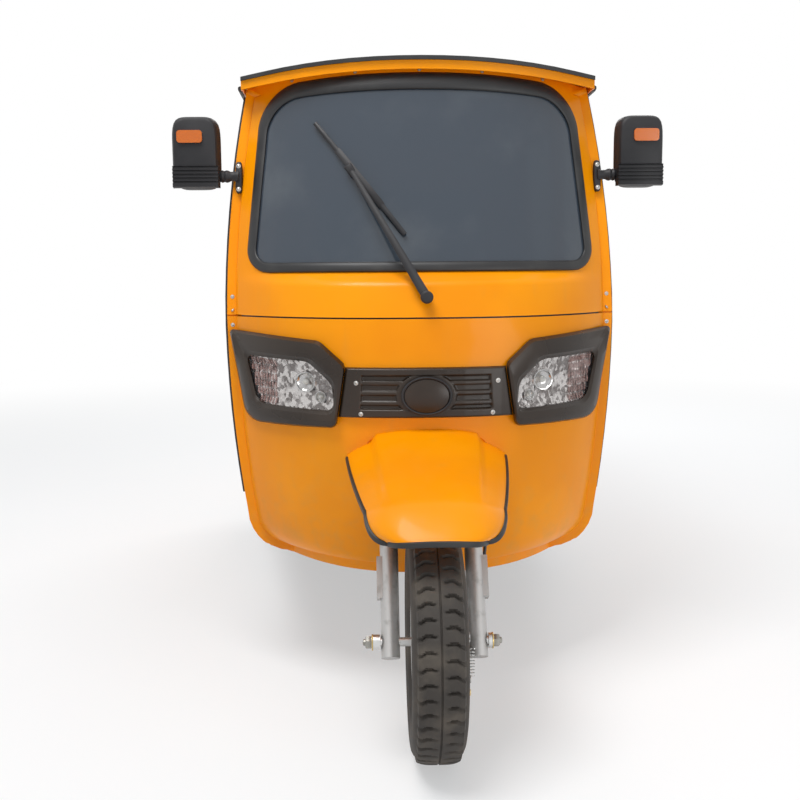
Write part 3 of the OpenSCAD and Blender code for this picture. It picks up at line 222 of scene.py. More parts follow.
class Sheet:
    """The nodes of a material, of the world or of a geometry tree."""

    def __init__(self, tree: bpy.types.NodeTree) -> None:
        """Takes over a tree and empties it.

        Args:
            tree: the tree that the nodes are added to.
        """
        self.tree = tree
        self.tree.nodes.clear()

    @classmethod
    def of(cls, owner: Union[bpy.types.Material, bpy.types.World]) -> "Sheet":
        """The empty sheet of a material or a world."""
        owner.use_nodes = True
        return cls(owner.node_tree)

    def node(self, kind: str, settings: Optional[dict] = None, sockets: Optional[dict] = None,
             out: Union[int, str] = 0) -> Wire:
        """Adds one node.

        Args:
            kind: the node's type.
            settings: properties that are set first.
            sockets: values or wires by input name or number.
            out: which output to hand back.

        Returns:
            The chosen output.
        """
        made = self.tree.nodes.new(kind)
        for key, value in (settings or {}).items():
            setattr(made, key, value)
        for key, value in (sockets or {}).items():
            socket = made.inputs[key]
            if isinstance(value, Wire):
                self.tree.links.new(value.socket, socket)
            elif socket.type == "RGBA" and len(value) == 3:
                socket.default_value = (*value, 1.0)
            else:
                socket.default_value = value
        return Wire(self, made.outputs[out] if made.outputs else None)

    def place(self, stretch: Colour = (1.0, 1.0, 1.0)) -> Wire:
        """Object coordinates, stretched."""
        where = self.node("ShaderNodeTexCoord", out="Object")
        return self.node("ShaderNodeVectorMath", {"operation": "MULTIPLY"}, {0: where, 1: stretch})

    def height(self) -> Wire:
        """Height above the ground in metres."""
        return self.node("ShaderNodeSeparateXYZ", None, {0: self.place()}, "Z")

    def noise(self, scale: float, detail: float = 2.0, stretch: Colour = (1.0, 1.0, 1.0)) -> Wire:
        """Noise from 0 to 1 over the surface."""
        return self.node("ShaderNodeTexNoise", None, {"Vector": self.place(stretch), "Scale": scale, "Detail": detail})

    def cells(self, scale: float, stretch: Colour = (1.0, 1.0, 1.0), out: str = "Distance") -> Wire:
        """Distance to the nearest cell's middle, as in pebbled grain, or the cell's own colour."""
        return self.node("ShaderNodeTexVoronoi", None, {"Vector": self.place(stretch), "Scale": scale}, out)

    def within(self, value: Wire, low: float, high: float) -> Wire:
        """A soft step from 0 at low to 1 at high."""
        ends = {"Value": value, "From Min": low, "From Max": high}
        return self.node("ShaderNodeMapRange", {"interpolation_type": "SMOOTHSTEP"}, ends)

    def mix(self, share: Value, first: Value, second: Value) -> Wire:
        """Two colours mixed."""
        return self.node("ShaderNodeMix", {"data_type": "RGBA"}, {0: share, 6: first, 7: second}, 2)

    def bump(self, height: Wire, strength: float, depth: float) -> Wire:
        """A bumped normal."""
        return self.node("ShaderNodeBump", None, {"Height": height, "Strength": strength, "Distance": depth})

    def seen(self) -> Wire:
        """1 for what the camera sees, in gloss and through glass too, and 0 for other light."""
        kinds = ("Is Camera Ray", "Is Glossy Ray", "Is Transmission Ray")
        camera, gloss, through = [self.node("ShaderNodeLightPath", out=kind) for kind in kinds]
        return camera.or_more(gloss.or_more(through))

    def skin(self, sockets: dict) -> None:
        """Ends the sheet in one Principled shader.

        Args:
            sockets: the shader's inputs.
        """
        shader = self.node("ShaderNodeBsdfPrincipled", None, sockets)
        self.node("ShaderNodeOutputMaterial", None, {"Surface": shader})


@dataclass(frozen=True)
class Finish:
    """A finish with a name and the record's slot that it belongs to."""

    name: str
    slot: str

    def draw(self, s: Sheet) -> None:
        """Fills the material's sheet; each kind of finish has its own way."""
        raise NotImplementedError

    def material(self) -> bpy.types.Material:
        """The finish's one material, made at its first use."""
        made = bpy.data.materials.get(self.name)
        if made is None:
            made = bpy.data.materials.new(self.name)
            self.draw(Sheet.of(made))
        return made


@dataclass(frozen=True)
class Paint(Finish):
    """Sprayed enamel with faint orange peel and road dust low down."""

    colour: Colour = (0.95, 0.322, 0.0)
    deep: Colour = (0.89, 0.284, 0.0)
    dust: Colour = (0.55, 0.33, 0.10)
    dust_top: float = 0.72

    def draw(self, s: Sheet) -> None:
        """Enamel with clouds, peel and dust."""
        cloud = s.within(s.noise(3.1, 3.0), 0.35, 0.65)
        low = s.within(s.height(), self.dust_top, 0.30)
        dirt = low * s.within(s.noise(26.0, 5.0), 0.42, 0.78) * 0.26
        runs = s.within(s.noise(9.0, 4.0, (3.0, 3.0, 0.35)), 0.55, 0.85) * 0.10
        tone = s.mix(cloud, self.colour, self.deep)
        tone = s.mix(runs, tone, self.dust)
        s.skin({
            "Base Color": s.mix(dirt, tone, self.dust),
            "Roughness": 0.30 + cloud * 0.07 + dirt * 0.45,
            "Coat Weight": 0.11 - dirt * 0.2,
            "Coat Roughness": 0.10,
            "Specular IOR Level": 0.16,
            "Normal": s.bump(s.noise(330.0, 1.0), 0.05, 0.001),
        })


@dataclass(frozen=True)
class Moulded(Finish):
    """Black or coloured plastic with a fine pebble grain and greyed patches."""

    colour: Colour = (0.012, 0.012, 0.014)
    faded: Colour = (0.026, 0.025, 0.027)
    rough: float = 0.42
    grain: float = 900.0
    depth: float = 0.10
    gloss: float = 0.32
    dust: Colour = (0.20, 0.17, 0.13)

    def draw(self, s: Sheet) -> None:
        """Plastic with grain, haze and dust low down."""
        haze = s.within(s.noise(5.0, 4.0), 0.35, 0.70)
        low = s.within(s.height(), 0.75, 0.25) * s.within(s.noise(34.0, 4.0), 0.40, 0.80) * 0.35
        tone = s.mix(haze, self.colour, self.faded)
        s.skin({
            "Base Color": s.mix(low, tone, self.dust),
            "Roughness": self.rough + haze * 0.12 + low * 0.3,
            "Specular IOR Level": self.gloss,
            "Normal": s.bump(s.cells(self.grain), self.depth, 0.0008),
        })


@dataclass(frozen=True)
class Rubber(Finish):
    """Rubber: dull, with dust in its grain."""

    colour: Colour
    dust: Colour
    rough: float
    dusty: float

    def draw(self, s: Sheet) -> None:
        """Rubber with a dusty bloom."""
        bloom = s.within(s.noise(14.0, 5.0), 0.42, 0.75) * self.dusty
        fine = s.noise(620.0, 2.0)
        s.skin({
            "Base Color": s.mix(bloom, self.colour, self.dust),
            "Roughness": self.rough + bloom * 0.4,
            "Normal": s.bump(fine + bloom * 0.6, 0.16, 0.001),
        })


@dataclass(frozen=True)
class Metal(Finish):
    """Bare, plated or painted metal with fine streaks and dull spots."""

    colour: Colour
    dull: Colour
    metallic: float
    rough: float
    streak: Colour = (1.0, 1.0, 6.0)
    wear: float = 0.5

    def draw(self, s: Sheet) -> None:
        """Metal with streaks and dull spots."""
        spots = s.within(s.noise(46.0, 5.0), 0.48, 0.76) * self.wear
        lines = s.noise(120.0, 2.0, self.streak)
        s.skin({
            "Base Color": s.mix(spots, self.colour, self.dull),
            "Metallic": self.metallic - spots * 0.35 * self.metallic,
            "Roughness": self.rough + spots * 0.35 + lines * 0.08,
            "Normal": s.bump(lines + spots * 0.5, 0.06, 0.001),
        })


@dataclass(frozen=True)
class Silvering(Finish):
    """Vacuum silvering over small pressed facets, with painted reflection: each facet's colour is painted lighter or
    darker, as the light that it would catch.
    """

    # painted reflection: the lit tone and the shaded tone of the facets
    glint_colour: Colour = (0.80, 0.765, 0.745)
    facet_shade_colour: Colour = (0.24, 0.215, 0.205)
    facet: float = 135.0
    stretch: Colour = (1.0, 0.2, 0.72)

    def draw(self, s: Sheet) -> None:
        """Facets with painted light and dark reflections, and their own tilts."""
        pick = s.node("ShaderNodeSeparateColor", None, {0: s.cells(self.facet, self.stretch, "Color")}, 0)
        cloud = s.within(s.noise(24.0, 2.0), 0.34, 0.66)
        # painted reflection: each facet gets its own light or dark tone in place of the light that a silvered facet
        # would catch
        tone = s.within(pick * 0.6 + cloud * 0.4, 0.28, 0.74)
        s.skin({
            "Base Color": s.mix(tone, self.facet_shade_colour, self.glint_colour),
            "Metallic": 1.0,
            "Roughness": 0.14 + pick * 0.14,
            "Normal": s.bump(s.cells(self.facet, self.stretch), 0.38, 0.006),
        })


@dataclass(frozen=True)
class Pane(Finish):
    """Glass or a clear moulding: a tinted sheet that lets part of the light through."""

    colour: Colour
    alpha: float
    rough: float
    film: float
    dust: Colour = (0.45, 0.45, 0.42)

    def draw(self, s: Sheet) -> None:
        """Glass with a thin film of dust."""
        film = s.within(s.noise(4.0, 6.0), 0.45, 0.85) * self.film
        s.skin({
            "Base Color": s.mix(film, self.colour, self.dust),
            "Roughness": self.rough + film * 0.8,
            "Alpha": self.alpha + film * 0.5,
            "Specular IOR Level": 0.6,
        })


@dataclass(frozen=True)
class Vinyl(Finish):
    """Coated seat cloth with leather grain."""

    colour: Colour = (0.030, 0.029, 0.030)
    worn: Colour = (0.075, 0.071, 0.068)

    def draw(self, s: Sheet) -> None:
        """Seat cloth with grain, creases and worn patches."""
        worn = s.within(s.noise(7.0, 4.0), 0.45, 0.75)
        grain = s.cells(420.0) + s.noise(60.0, 3.0) * 0.5
        s.skin({
            "Base Color": s.mix(worn * 0.6, self.colour, self.worn),
            "Roughness": 0.48 + worn * 0.14,
            "Normal": s.bump(grain, 0.25, 0.001),
        })


ORANGE = Paint("amber_enamel", "body_paint")
FRAME = Metal("chassis_black", "frame_black", (0.022, 0.022, 0.023), (0.10, 0.075, 0.055), 0.15, 0.48, (1, 1, 1), 0.4)
PLASTIC = Moulded("black_moulding", "black_plastic")
MASK = Moulded("mask_moulding", "black_plastic", (0.022, 0.014, 0.009), (0.034, 0.023, 0.016), 0.26, 1300.0, 0.04, 0.36)
SEAL = Rubber("seal_rubber", "rubber", (0.012, 0.012, 0.013), (0.07, 0.068, 0.062), 0.46, 0.25)
TYRE = Rubber("tyre_rubber", "tyre", (0.036, 0.030, 0.025), (0.16, 0.135, 0.108), 0.74, 0.55)
WHEEL = Metal("wheel_silver", "wheel_steel", (0.50, 0.50, 0.49), (0.28, 0.27, 0.25), 0.85, 0.36)
ALLOY = Metal("fork_silver", "fork_alloy", (0.50, 0.49, 0.48), (0.28, 0.27, 0.25), 0.85, 0.42, (1, 1, 0.2), 0.45)
STEEL = Metal("bright_steel", "spindle_steel", (0.66, 0.66, 0.65), (0.30, 0.28, 0.25), 1.0, 0.26)
BOLT = Metal("dark_zinc", "spindle_steel", (0.34, 0.33, 0.30), (0.16, 0.14, 0.11), 0.9, 0.36, (1, 1, 1), 0.6)
ZINC = Metal("yellow_zinc", "spindle_steel", (0.72, 0.52, 0.20), (0.40, 0.30, 0.14), 1.0, 0.30)
GLASS = Pane("screen_glass", "glass", (0.040, 0.055, 0.075), 0.93, 0.03, 0.10)
LENS = Pane("lamp_lens", "lamp_glass", (0.10, 0.105, 0.11), 0.10, 0.03, 0.05)
BOWL = Silvering("lamp_silvering", "reflector")
DISH = Metal("lamp_dish", "reflector", (0.66, 0.65, 0.64), (0.20, 0.19, 0.18), 1.0, 0.10, (1, 1, 1), 0.6)
AMBER = Pane("amber_lens", "amber", (0.62, 0.135, 0.006), 0.92, 0.12, 0.03)
BLUSH = Pane("indicator_lens", "amber", (0.62, 0.33, 0.28), 0.42, 0.12, 0.05)
RED = Pane("tail_lens", "red_lens", (0.55, 0.008, 0.006), 0.94, 0.10, 0.06)
MIRROR = Metal("mirror_silver", "mirror", (0.86, 0.87, 0.88), (0.70, 0.70, 0.70), 1.0, 0.04, (1, 1, 1), 0.15)
VINYL = Vinyl("seat_vinyl", "seat")
LAMP_BULB = Pane("bulb_glass", "lamp_glass", (0.92, 0.90, 0.84), 0.75, 0.08, 0.04)
WHITE = Moulded("dial_white", "black_plastic", (0.80, 0.80, 0.78), (0.70, 0.70, 0.68), 0.5)
CASE = Moulded("battery_case", "battery", (0.035, 0.042, 0.050), (0.060, 0.066, 0.072), 0.55, 500.0, 0.12)
FASTENER = Metal("screw_zinc", "spindle_steel", (0.46, 0.45, 0.43), (0.26, 0.24, 0.21), 1.0, 0.36, (1, 1, 1), 0.4)


class Shop:
    """Small jobs that every piece needs."""

    trees: dict[str, BVHTree] = {}

    @staticmethod
    def piece(name: str, shape: bmesh.types.BMesh, finish: Finish, smooth: float = 40.0) -> bpy.types.Object:
        """Turns a bmesh into an object at the origin.

        Args:
            name: the piece's name.
            shape: the mesh, which is freed.
            finish: its finish.
            smooth: edges sharper than this many degrees stay crisp.

        Returns:
            The new object.
        """
        for face in shape.faces:
            face.smooth = True
        for edge in shape.edges:
            crisp = len(edge.link_faces) != 2 or edge.calc_face_angle(0.0) > math.radians(smooth)
            edge.smooth = not crisp
        mesh = bpy.data.meshes.new(name)
        shape.to_mesh(mesh)
        shape.free()
        made = bpy.data.objects.new(name, mesh)
        bpy.context.scene.collection.objects.link(made)
        made.data.materials.append(finish.material())
        return made

    @staticmethod
    def ease(made: bpy.types.Object, rounds: int = 10) -> None:
        """Evens out the shading over long facets; crisp edges keep their own normals.

        Args:
            made: the piece.
            rounds: how often each normal is blended with its neighbours'.
        """
        data = made.data
        crisp = {v for e in data.edges if e.use_edge_sharp for v in e.vertices}
        normals = [Vector((0, 0, 0)) for _ in data.vertices]
        for face in data.polygons:
            for v in face.vertices:
                normals[v] += face.normal * face.area
        normals = [n.normalized() for n in normals]
        near: list[list[int]] = [[] for _ in data.vertices]
        for edge in data.edges:
            a, b = edge.vertices
            if a not in crisp and b not in crisp:
                near[a].append(b)
                near[b].append(a)
        for _ in range(rounds):
            normals = [(n * 0.5 + sum((normals[k] for k in near[i]), Vector()) * (0.5 / len(near[i]))).normalized()
                       if near[i] else n for i, n in enumerate(normals)]
        zero = Vector((0, 0, 0))
        data.normals_split_custom_set([zero if loop.vertex_index in crisp else normals[loop.vertex_index]
                                       for loop in data.loops])

    @staticmethod
    def fit(made: bpy.types.Object, body: Body, finish: Finish, *nodes: str) -> bpy.types.Object:
        """Sets a piece on its body.

        Args:
            made: the piece.
            body: the body that it rides on.
            finish: its finish, for the record's slot.
            nodes: nodes of the frame that it stands for.

        Returns:
            The piece.
        """
        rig.ride(made, body.value)
        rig.slot(made, finish.slot)
        if nodes:
            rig.replaces(made, *nodes)
        LOG.info("%s rides on %s", made.name, body.value)
        return made

    @staticmethod
    def add(name: str, shape: bmesh.types.BMesh, finish: Finish, body: Body, *nodes: str,
            smooth: float = 40.0) -> bpy.types.Object:
        """Makes a piece from a mesh and sets it on its body; the arguments are those of piece and fit."""
        return Shop.fit(Shop.piece(name, shape, finish, smooth), body, finish, *nodes)

    @staticmethod
    def copy(node: str) -> bmesh.types.BMesh:
        """A merged copy of a node's mesh."""
        shape = bmesh.new()
        shape.from_mesh(NODES[node].data)
        bmesh.ops.remove_doubles(shape, verts=shape.verts, dist=2e-5)
        return shape

    @staticmethod
    def hit(node: str, x: float, z: float, behind: bool = False) -> tuple[Vector, Vector]:
        """Where a line from the front or the back at x and z meets a node.

        Args:
            node: the node that is looked for.
            x: metres to the right in the photograph.
            z: metres above the ground.
            behind: whether the line comes from the back.

        Returns:
            The point and the surface's outward direction there.
        """
        side = 1.0 if behind else -1.0
        return Shop.cast(node, Vector((x, 3.0 * side, z)), Vector((0, -side, 0)))

    @staticmethod
    def cast(node: str, start: Vector, way: Vector) -> tuple[Vector, Vector]:
        """Where a line meets a node, and the surface's direction towards the line's start."""
        tree = Shop.trees.get(node)
        if tree is None:
            tree = BVHTree.FromPolygons([v.co for v in NODES[node].data.vertices],
                                        [p.vertices for p in NODES[node].data.polygons])
            Shop.trees[node] = tree
        place, normal, _, _ = tree.ray_cast(start, way)
        if place is None:
            raise ValueError(f"{node} has no surface on the line from {start}")
        return place, normal if normal.dot(way) < 0 else -normal


def facing(normal: Vector) -> Euler:
    """The turn that takes a template's Z to a surface's direction."""
    return normal.to_track_quat("Z", "Y").to_euler()


class Scatter:
    """A geometry node tree that sets one template at many places."""

    def __init__(self) -> None:
        """Builds the tree with its named inputs."""
        self.tree = bpy.data.node_groups.new("scatter", "GeometryNodeTree")
        face = self.tree.interface
        kinds = {"Places": "Geometry", "Template": "Object", "Finish": "Material"}
        self.inputs = {name: face.new_socket(name, in_out="INPUT", socket_type="NodeSocket" + kind).identifier
                       for name, kind in kinds.items()}
        face.new_socket("Result", in_out="OUTPUT", socket_type="NodeSocketGeometry")
        s = Sheet(self.tree)
        places, template, finish = [s.node("NodeGroupInput", out=name) for name in kinds]
        shape = s.node("GeometryNodeObjectInfo", None, {"Object": template}, "Geometry")
        turn = s.node("GeometryNodeInputNamedAttribute", {"data_type": "FLOAT_VECTOR"}, {"Name": "turn"}, "Attribute")
        angle = s.node("FunctionNodeEulerToRotation", None, {0: turn})
        copies = s.node("GeometryNodeInstanceOnPoints", None, {"Points": places, "Instance": shape, "Rotation": angle})
        solid = s.node("GeometryNodeRealizeInstances", None, {"Geometry": copies})
        dressed = s.node("GeometryNodeSetMaterial", None, {"Geometry": solid, "Material": finish})
        s.node("NodeGroupOutput", None, {"Result": dressed})

    def spread(self, name: str, template: bmesh.types.BMesh, places: Sequence[tuple[Vector, Euler]],
               finish: Finish, body: Body = Body.CAB) -> None:
        """Sets the template at each place, as one plain mesh on its body.

        Args:
            name: the piece's name.
            template: the shape that repeats, which is freed.
            places: points and turns.
            finish: the finish of all of them.
            body: the body that they ride on.
        """
        pattern = Shop.piece(name + "_template", template, finish)
        mesh = bpy.data.meshes.new(name + "_places")
        mesh.from_pydata([tuple(p) for p, _ in places], [], [])
        turn = mesh.attributes.new("turn", "FLOAT_VECTOR", "POINT")
        for k, (_, angle) in enumerate(places):
            turn.data[k].vector = tuple(angle)
        host = bpy.data.objects.new(name, mesh)
        bpy.context.scene.collection.objects.link(host)
        modifier = host.modifiers.new("scatter", "NODES")
        modifier.node_group = self.tree
        modifier[self.inputs["Template"]] = pattern
        modifier[self.inputs["Finish"]] = finish.material()
        graph = bpy.context.evaluated_depsgraph_get()
        result = bpy.data.meshes.new_from_object(host.evaluated_get(graph), depsgraph=graph)
        host.modifiers.remove(modifier)
        host.data = result
        result.name = name
        bpy.data.objects.remove(pattern)
        bpy.data.meshes.remove(mesh)
        Shop.fit(host, body, finish)


class Forms:
    """Mesh shapes that the pieces are made from."""

    @staticmethod
    def bridge(shape: bmesh.types.BMesh, rows: Sequence[Sequence[bmesh.types.BMVert]], ring: bool = True,
               closed: bool = False) -> None:
        """Joins rows of vertices by faces.

        Args:
            shape: the mesh.
            rows: rows of equal length.
            ring: whether each row runs back to its start.
            closed: whether the last row meets the first.
        """
        pairs = list(zip(rows, rows[1:])) + ([(rows[-1], rows[0])] if closed else [])
        for first, second in pairs:
            for k in range(len(first) if ring else len(first) - 1):
                n = (k + 1) % len(first)
                shape.faces.new((first[k], first[n], second[n], second[k]))

    @staticmethod
    def outward(shape: bmesh.types.BMesh) -> bmesh.types.BMesh:
        """Turns all faces outward."""
        bmesh.ops.recalc_face_normals(shape, faces=shape.faces)
        return shape

    @staticmethod
    def turned(profile: Sequence[Spot], sides: int = 20) -> bmesh.types.BMesh:
        """A shape turned about Z.

        Args:
            profile: radius and height from the bottom middle to the top middle.
            sides: facets round the axis.

        Returns:
            The closed mesh.
        """
        shape = bmesh.new()
        rings: list[list[bmesh.types.BMVert]] = []
        for radius, height in profile:
            if radius < 1e-7:
                rings.append([shape.verts.new((0.0, 0.0, height))])
                continue
            turn = [2 * math.pi * k / sides for k in range(sides)]
            rings.append([shape.verts.new((radius * math.cos(a), radius * math.sin(a), height)) for a in turn])
        for low, high in zip(rings, rings[1:]):
            for k in range(sides):
                n = (k + 1) % sides
                corners = [low[k % len(low)], low[n % len(low)], high[n % len(high)], high[k % len(high)]]
                unique = list(dict.fromkeys(corners))
                if len(unique) > 2:
                    shape.faces.new(unique)
        return Forms.outward(shape)

    @staticmethod
    def swept(path: Sequence[Vector], section: Callable[[int], Sequence[Spot]], up: Vector,
              closed: bool = False) -> bmesh.types.BMesh:
        """A section swept along a path.

        Args:
            path: the points of the middle line.
            section: the closed section at each point, across and up.
            up: the direction that the section's second number follows.
            closed: whether the path runs back to its start.

        Returns:
            The closed mesh.
        """
        shape = bmesh.new()
        last = len(path) - 1
        loops = []
        for k, point in enumerate(path):
            ahead = path[(k + 1) % len(path)] if closed else path[min(last, k + 1)]
            behind = path[k - 1] if closed or k else path[0]
            along = (ahead - behind).normalized()
            side = along.cross(up).normalized()
            rise = side.cross(along).normalized()
            loops.append([shape.verts.new(point + side * a + rise * b) for a, b in section(k)])
        Forms.bridge(shape, loops, True, closed)
        if not closed:
            shape.faces.new(loops[0])
            shape.faces.new(list(reversed(loops[-1])))
        return Forms.outward(shape)

    @staticmethod
    def loft(loops: Sequence[Sequence[Vector]]) -> bmesh.types.BMesh:
        """A closed skin over loops of equal length, with both ends filled."""
        shape = bmesh.new()
        rings = [[shape.verts.new(p) for p in loop] for loop in loops]
        Forms.bridge(shape, rings)
        shape.faces.new(rings[0])
        shape.faces.new(rings[-1])
        return Forms.outward(shape)

    @staticmethod
    def oval(half: Spot, power: float, count: int, start: float = 0.5) -> list[Spot]:
        """A squared-off oval; its first point lies a share of one step past the right end."""
        ring = []
        for k in range(count):
            angle = 2 * math.pi * (k + start) / count
            c, s = math.cos(angle), math.sin(angle)
            size = (abs(c) ** power + abs(s) ** power) ** (1 / power)
            ring.append((half[0] * c / size, half[1] * s / size))
        return ring

    @staticmethod
    def round_wire(radius: float, sides: int = 8) -> Callable[[int], list[Spot]]:
        """A round section of one radius."""
        ring = Forms.oval((radius, radius), 2.0, sides, 0.0)
        return lambda _: ring

    @staticmethod
    def joined(parts: Sequence[bmesh.types.BMesh]) -> bmesh.types.BMesh:
        """Several meshes as one; the parts are freed."""
        whole = bmesh.new()
        for part in parts:
            mesh = bpy.data.meshes.new("part")
            part.to_mesh(mesh)
            part.free()
            whole.from_mesh(mesh)
            bpy.data.meshes.remove(mesh)
        return whole

    @staticmethod
    def block(size: Place, bevel: float = 0.0, taper: float = 1.0) -> bmesh.types.BMesh:
        """A block that stands on z = 0, with softened edges and a narrower top."""
        shape = bmesh.new()
        bmesh.ops.create_cube(shape, size=1.0)
        for vert in shape.verts:
            scale = taper if vert.co.z > 0 else 1.0
            vert.co = Vector((vert.co.x * size[0] * scale, vert.co.y * size[1] * scale, (vert.co.z + 0.5) * size[2]))
        if bevel:
            bmesh.ops.bevel(shape, geom=shape.edges[:], offset=bevel, segments=1, affect="EDGES")
        return shape

    @staticmethod
    def screw(radius: float) -> bmesh.types.BMesh:
        """A pan-head screw on its washer, with a socket in the middle."""
        r = radius
        return Forms.turned([(0, -0.001), (1.45 * r, -0.001), (1.5 * r, 0.0006), (1.42 * r, 0.0012), (1.02 * r, 0.0012),
                             (r, 0.3 * r), (0.8 * r, 0.52 * r), (0.4 * r, 0.62 * r), (0.3 * r, 0.28 * r),
                             (0, 0.22 * r)], 14)

    @staticmethod
    def nut(radius: float, height: float) -> bmesh.types.BMesh:
        """A hexagon nut with chamfered corners and a domed stud end."""
        shape = Forms.turned([(0, 0), (radius * 0.93, 0), (radius, height * 0.1), (radius, height * 0.85),
                              (radius * 0.88, height), (radius * 0.52, height)], 6)
        stud = Forms.turned([(radius * 0.52, height), (radius * 0.5, height * 1.3), (radius * 0.3, height * 1.42),
                             (0, height * 1.44)], 12)
        return Forms.joined([shape, stud])

    @staticmethod
    def soft_step(value: float, low: float, high: float) -> float:
        """A soft step from 0 at low to 1 at high."""
        t = min(1.0, max(0.0, (value - low) / (high - low)))
        return t * t * (3 - 2 * t)


@dataclass
class CabSkin:
    """Panels, mask, lamps, trim and dashboard, with their CAD shapes kept and their facets smoothed."""

    smooth_nodes: dict[str, tuple[Finish, float]] = field(default_factory=lambda: {
        "nose_panel": (ORANGE, 32.0), "roof_panel": (ORANGE, 32.0), "lamp_bezels": (MASK, 34.0),
        "lamp_bowls": (BOWL, 34.0), "lamp_lenses": (LENS, 34.0), "edge_trim": (SEAL, 40.0),
        "arch_liner": (PLASTIC, 40.0), "dashboard": (PLASTIC, 34.0),
    })
    softened: dict[str, tuple[float, float]] = field(default_factory=lambda: {
        "lamp_bezels": (0.0042, 26.0), "dashboard": (0.006, 40.0),
    })
    black_backed: tuple[str, ...] = ("lamp_bowls",)
    eased: tuple[str, ...] = ("nose_panel", "roof_panel")

    def build(self) -> None:
        """Makes a smooth copy of each faceted node, with rounded edges where they show."""
        for node, (finish, angle) in self.smooth_nodes.items():
            shape = Shop.copy(node)
            if node in self.softened:
                self.soften(shape, *self.softened[node])
            made = Shop.piece(node + "_skin", shape, finish, angle)
            if node in self.eased:
                Shop.ease(made)
            if node in self.black_backed:
                made.data.materials.append(PLASTIC.material())
                for face in made.data.polygons:
                    face.material_index = 1 if face.normal.y > 0.1 else 0
            Shop.fit(made, Body.CAB, finish, node)

    @staticmethod
    def soften(shape: bmesh.types.BMesh, width: float, bend: float) -> None:
        """Rounds the edges that bend by more than so many degrees."""
        bmesh.ops.dissolve_limit(shape, angle_limit=math.radians(1.0), verts=shape.verts, edges=shape.edges)
        sharp = [e for e in shape.edges if len(e.link_faces) == 2 and e.calc_face_angle(0.0) > math.radians(bend)]
        bmesh.ops.bevel(shape, geom=sharp, offset=width, segments=3, profile=0.6, affect="EDGES", clamp_overlap=True)


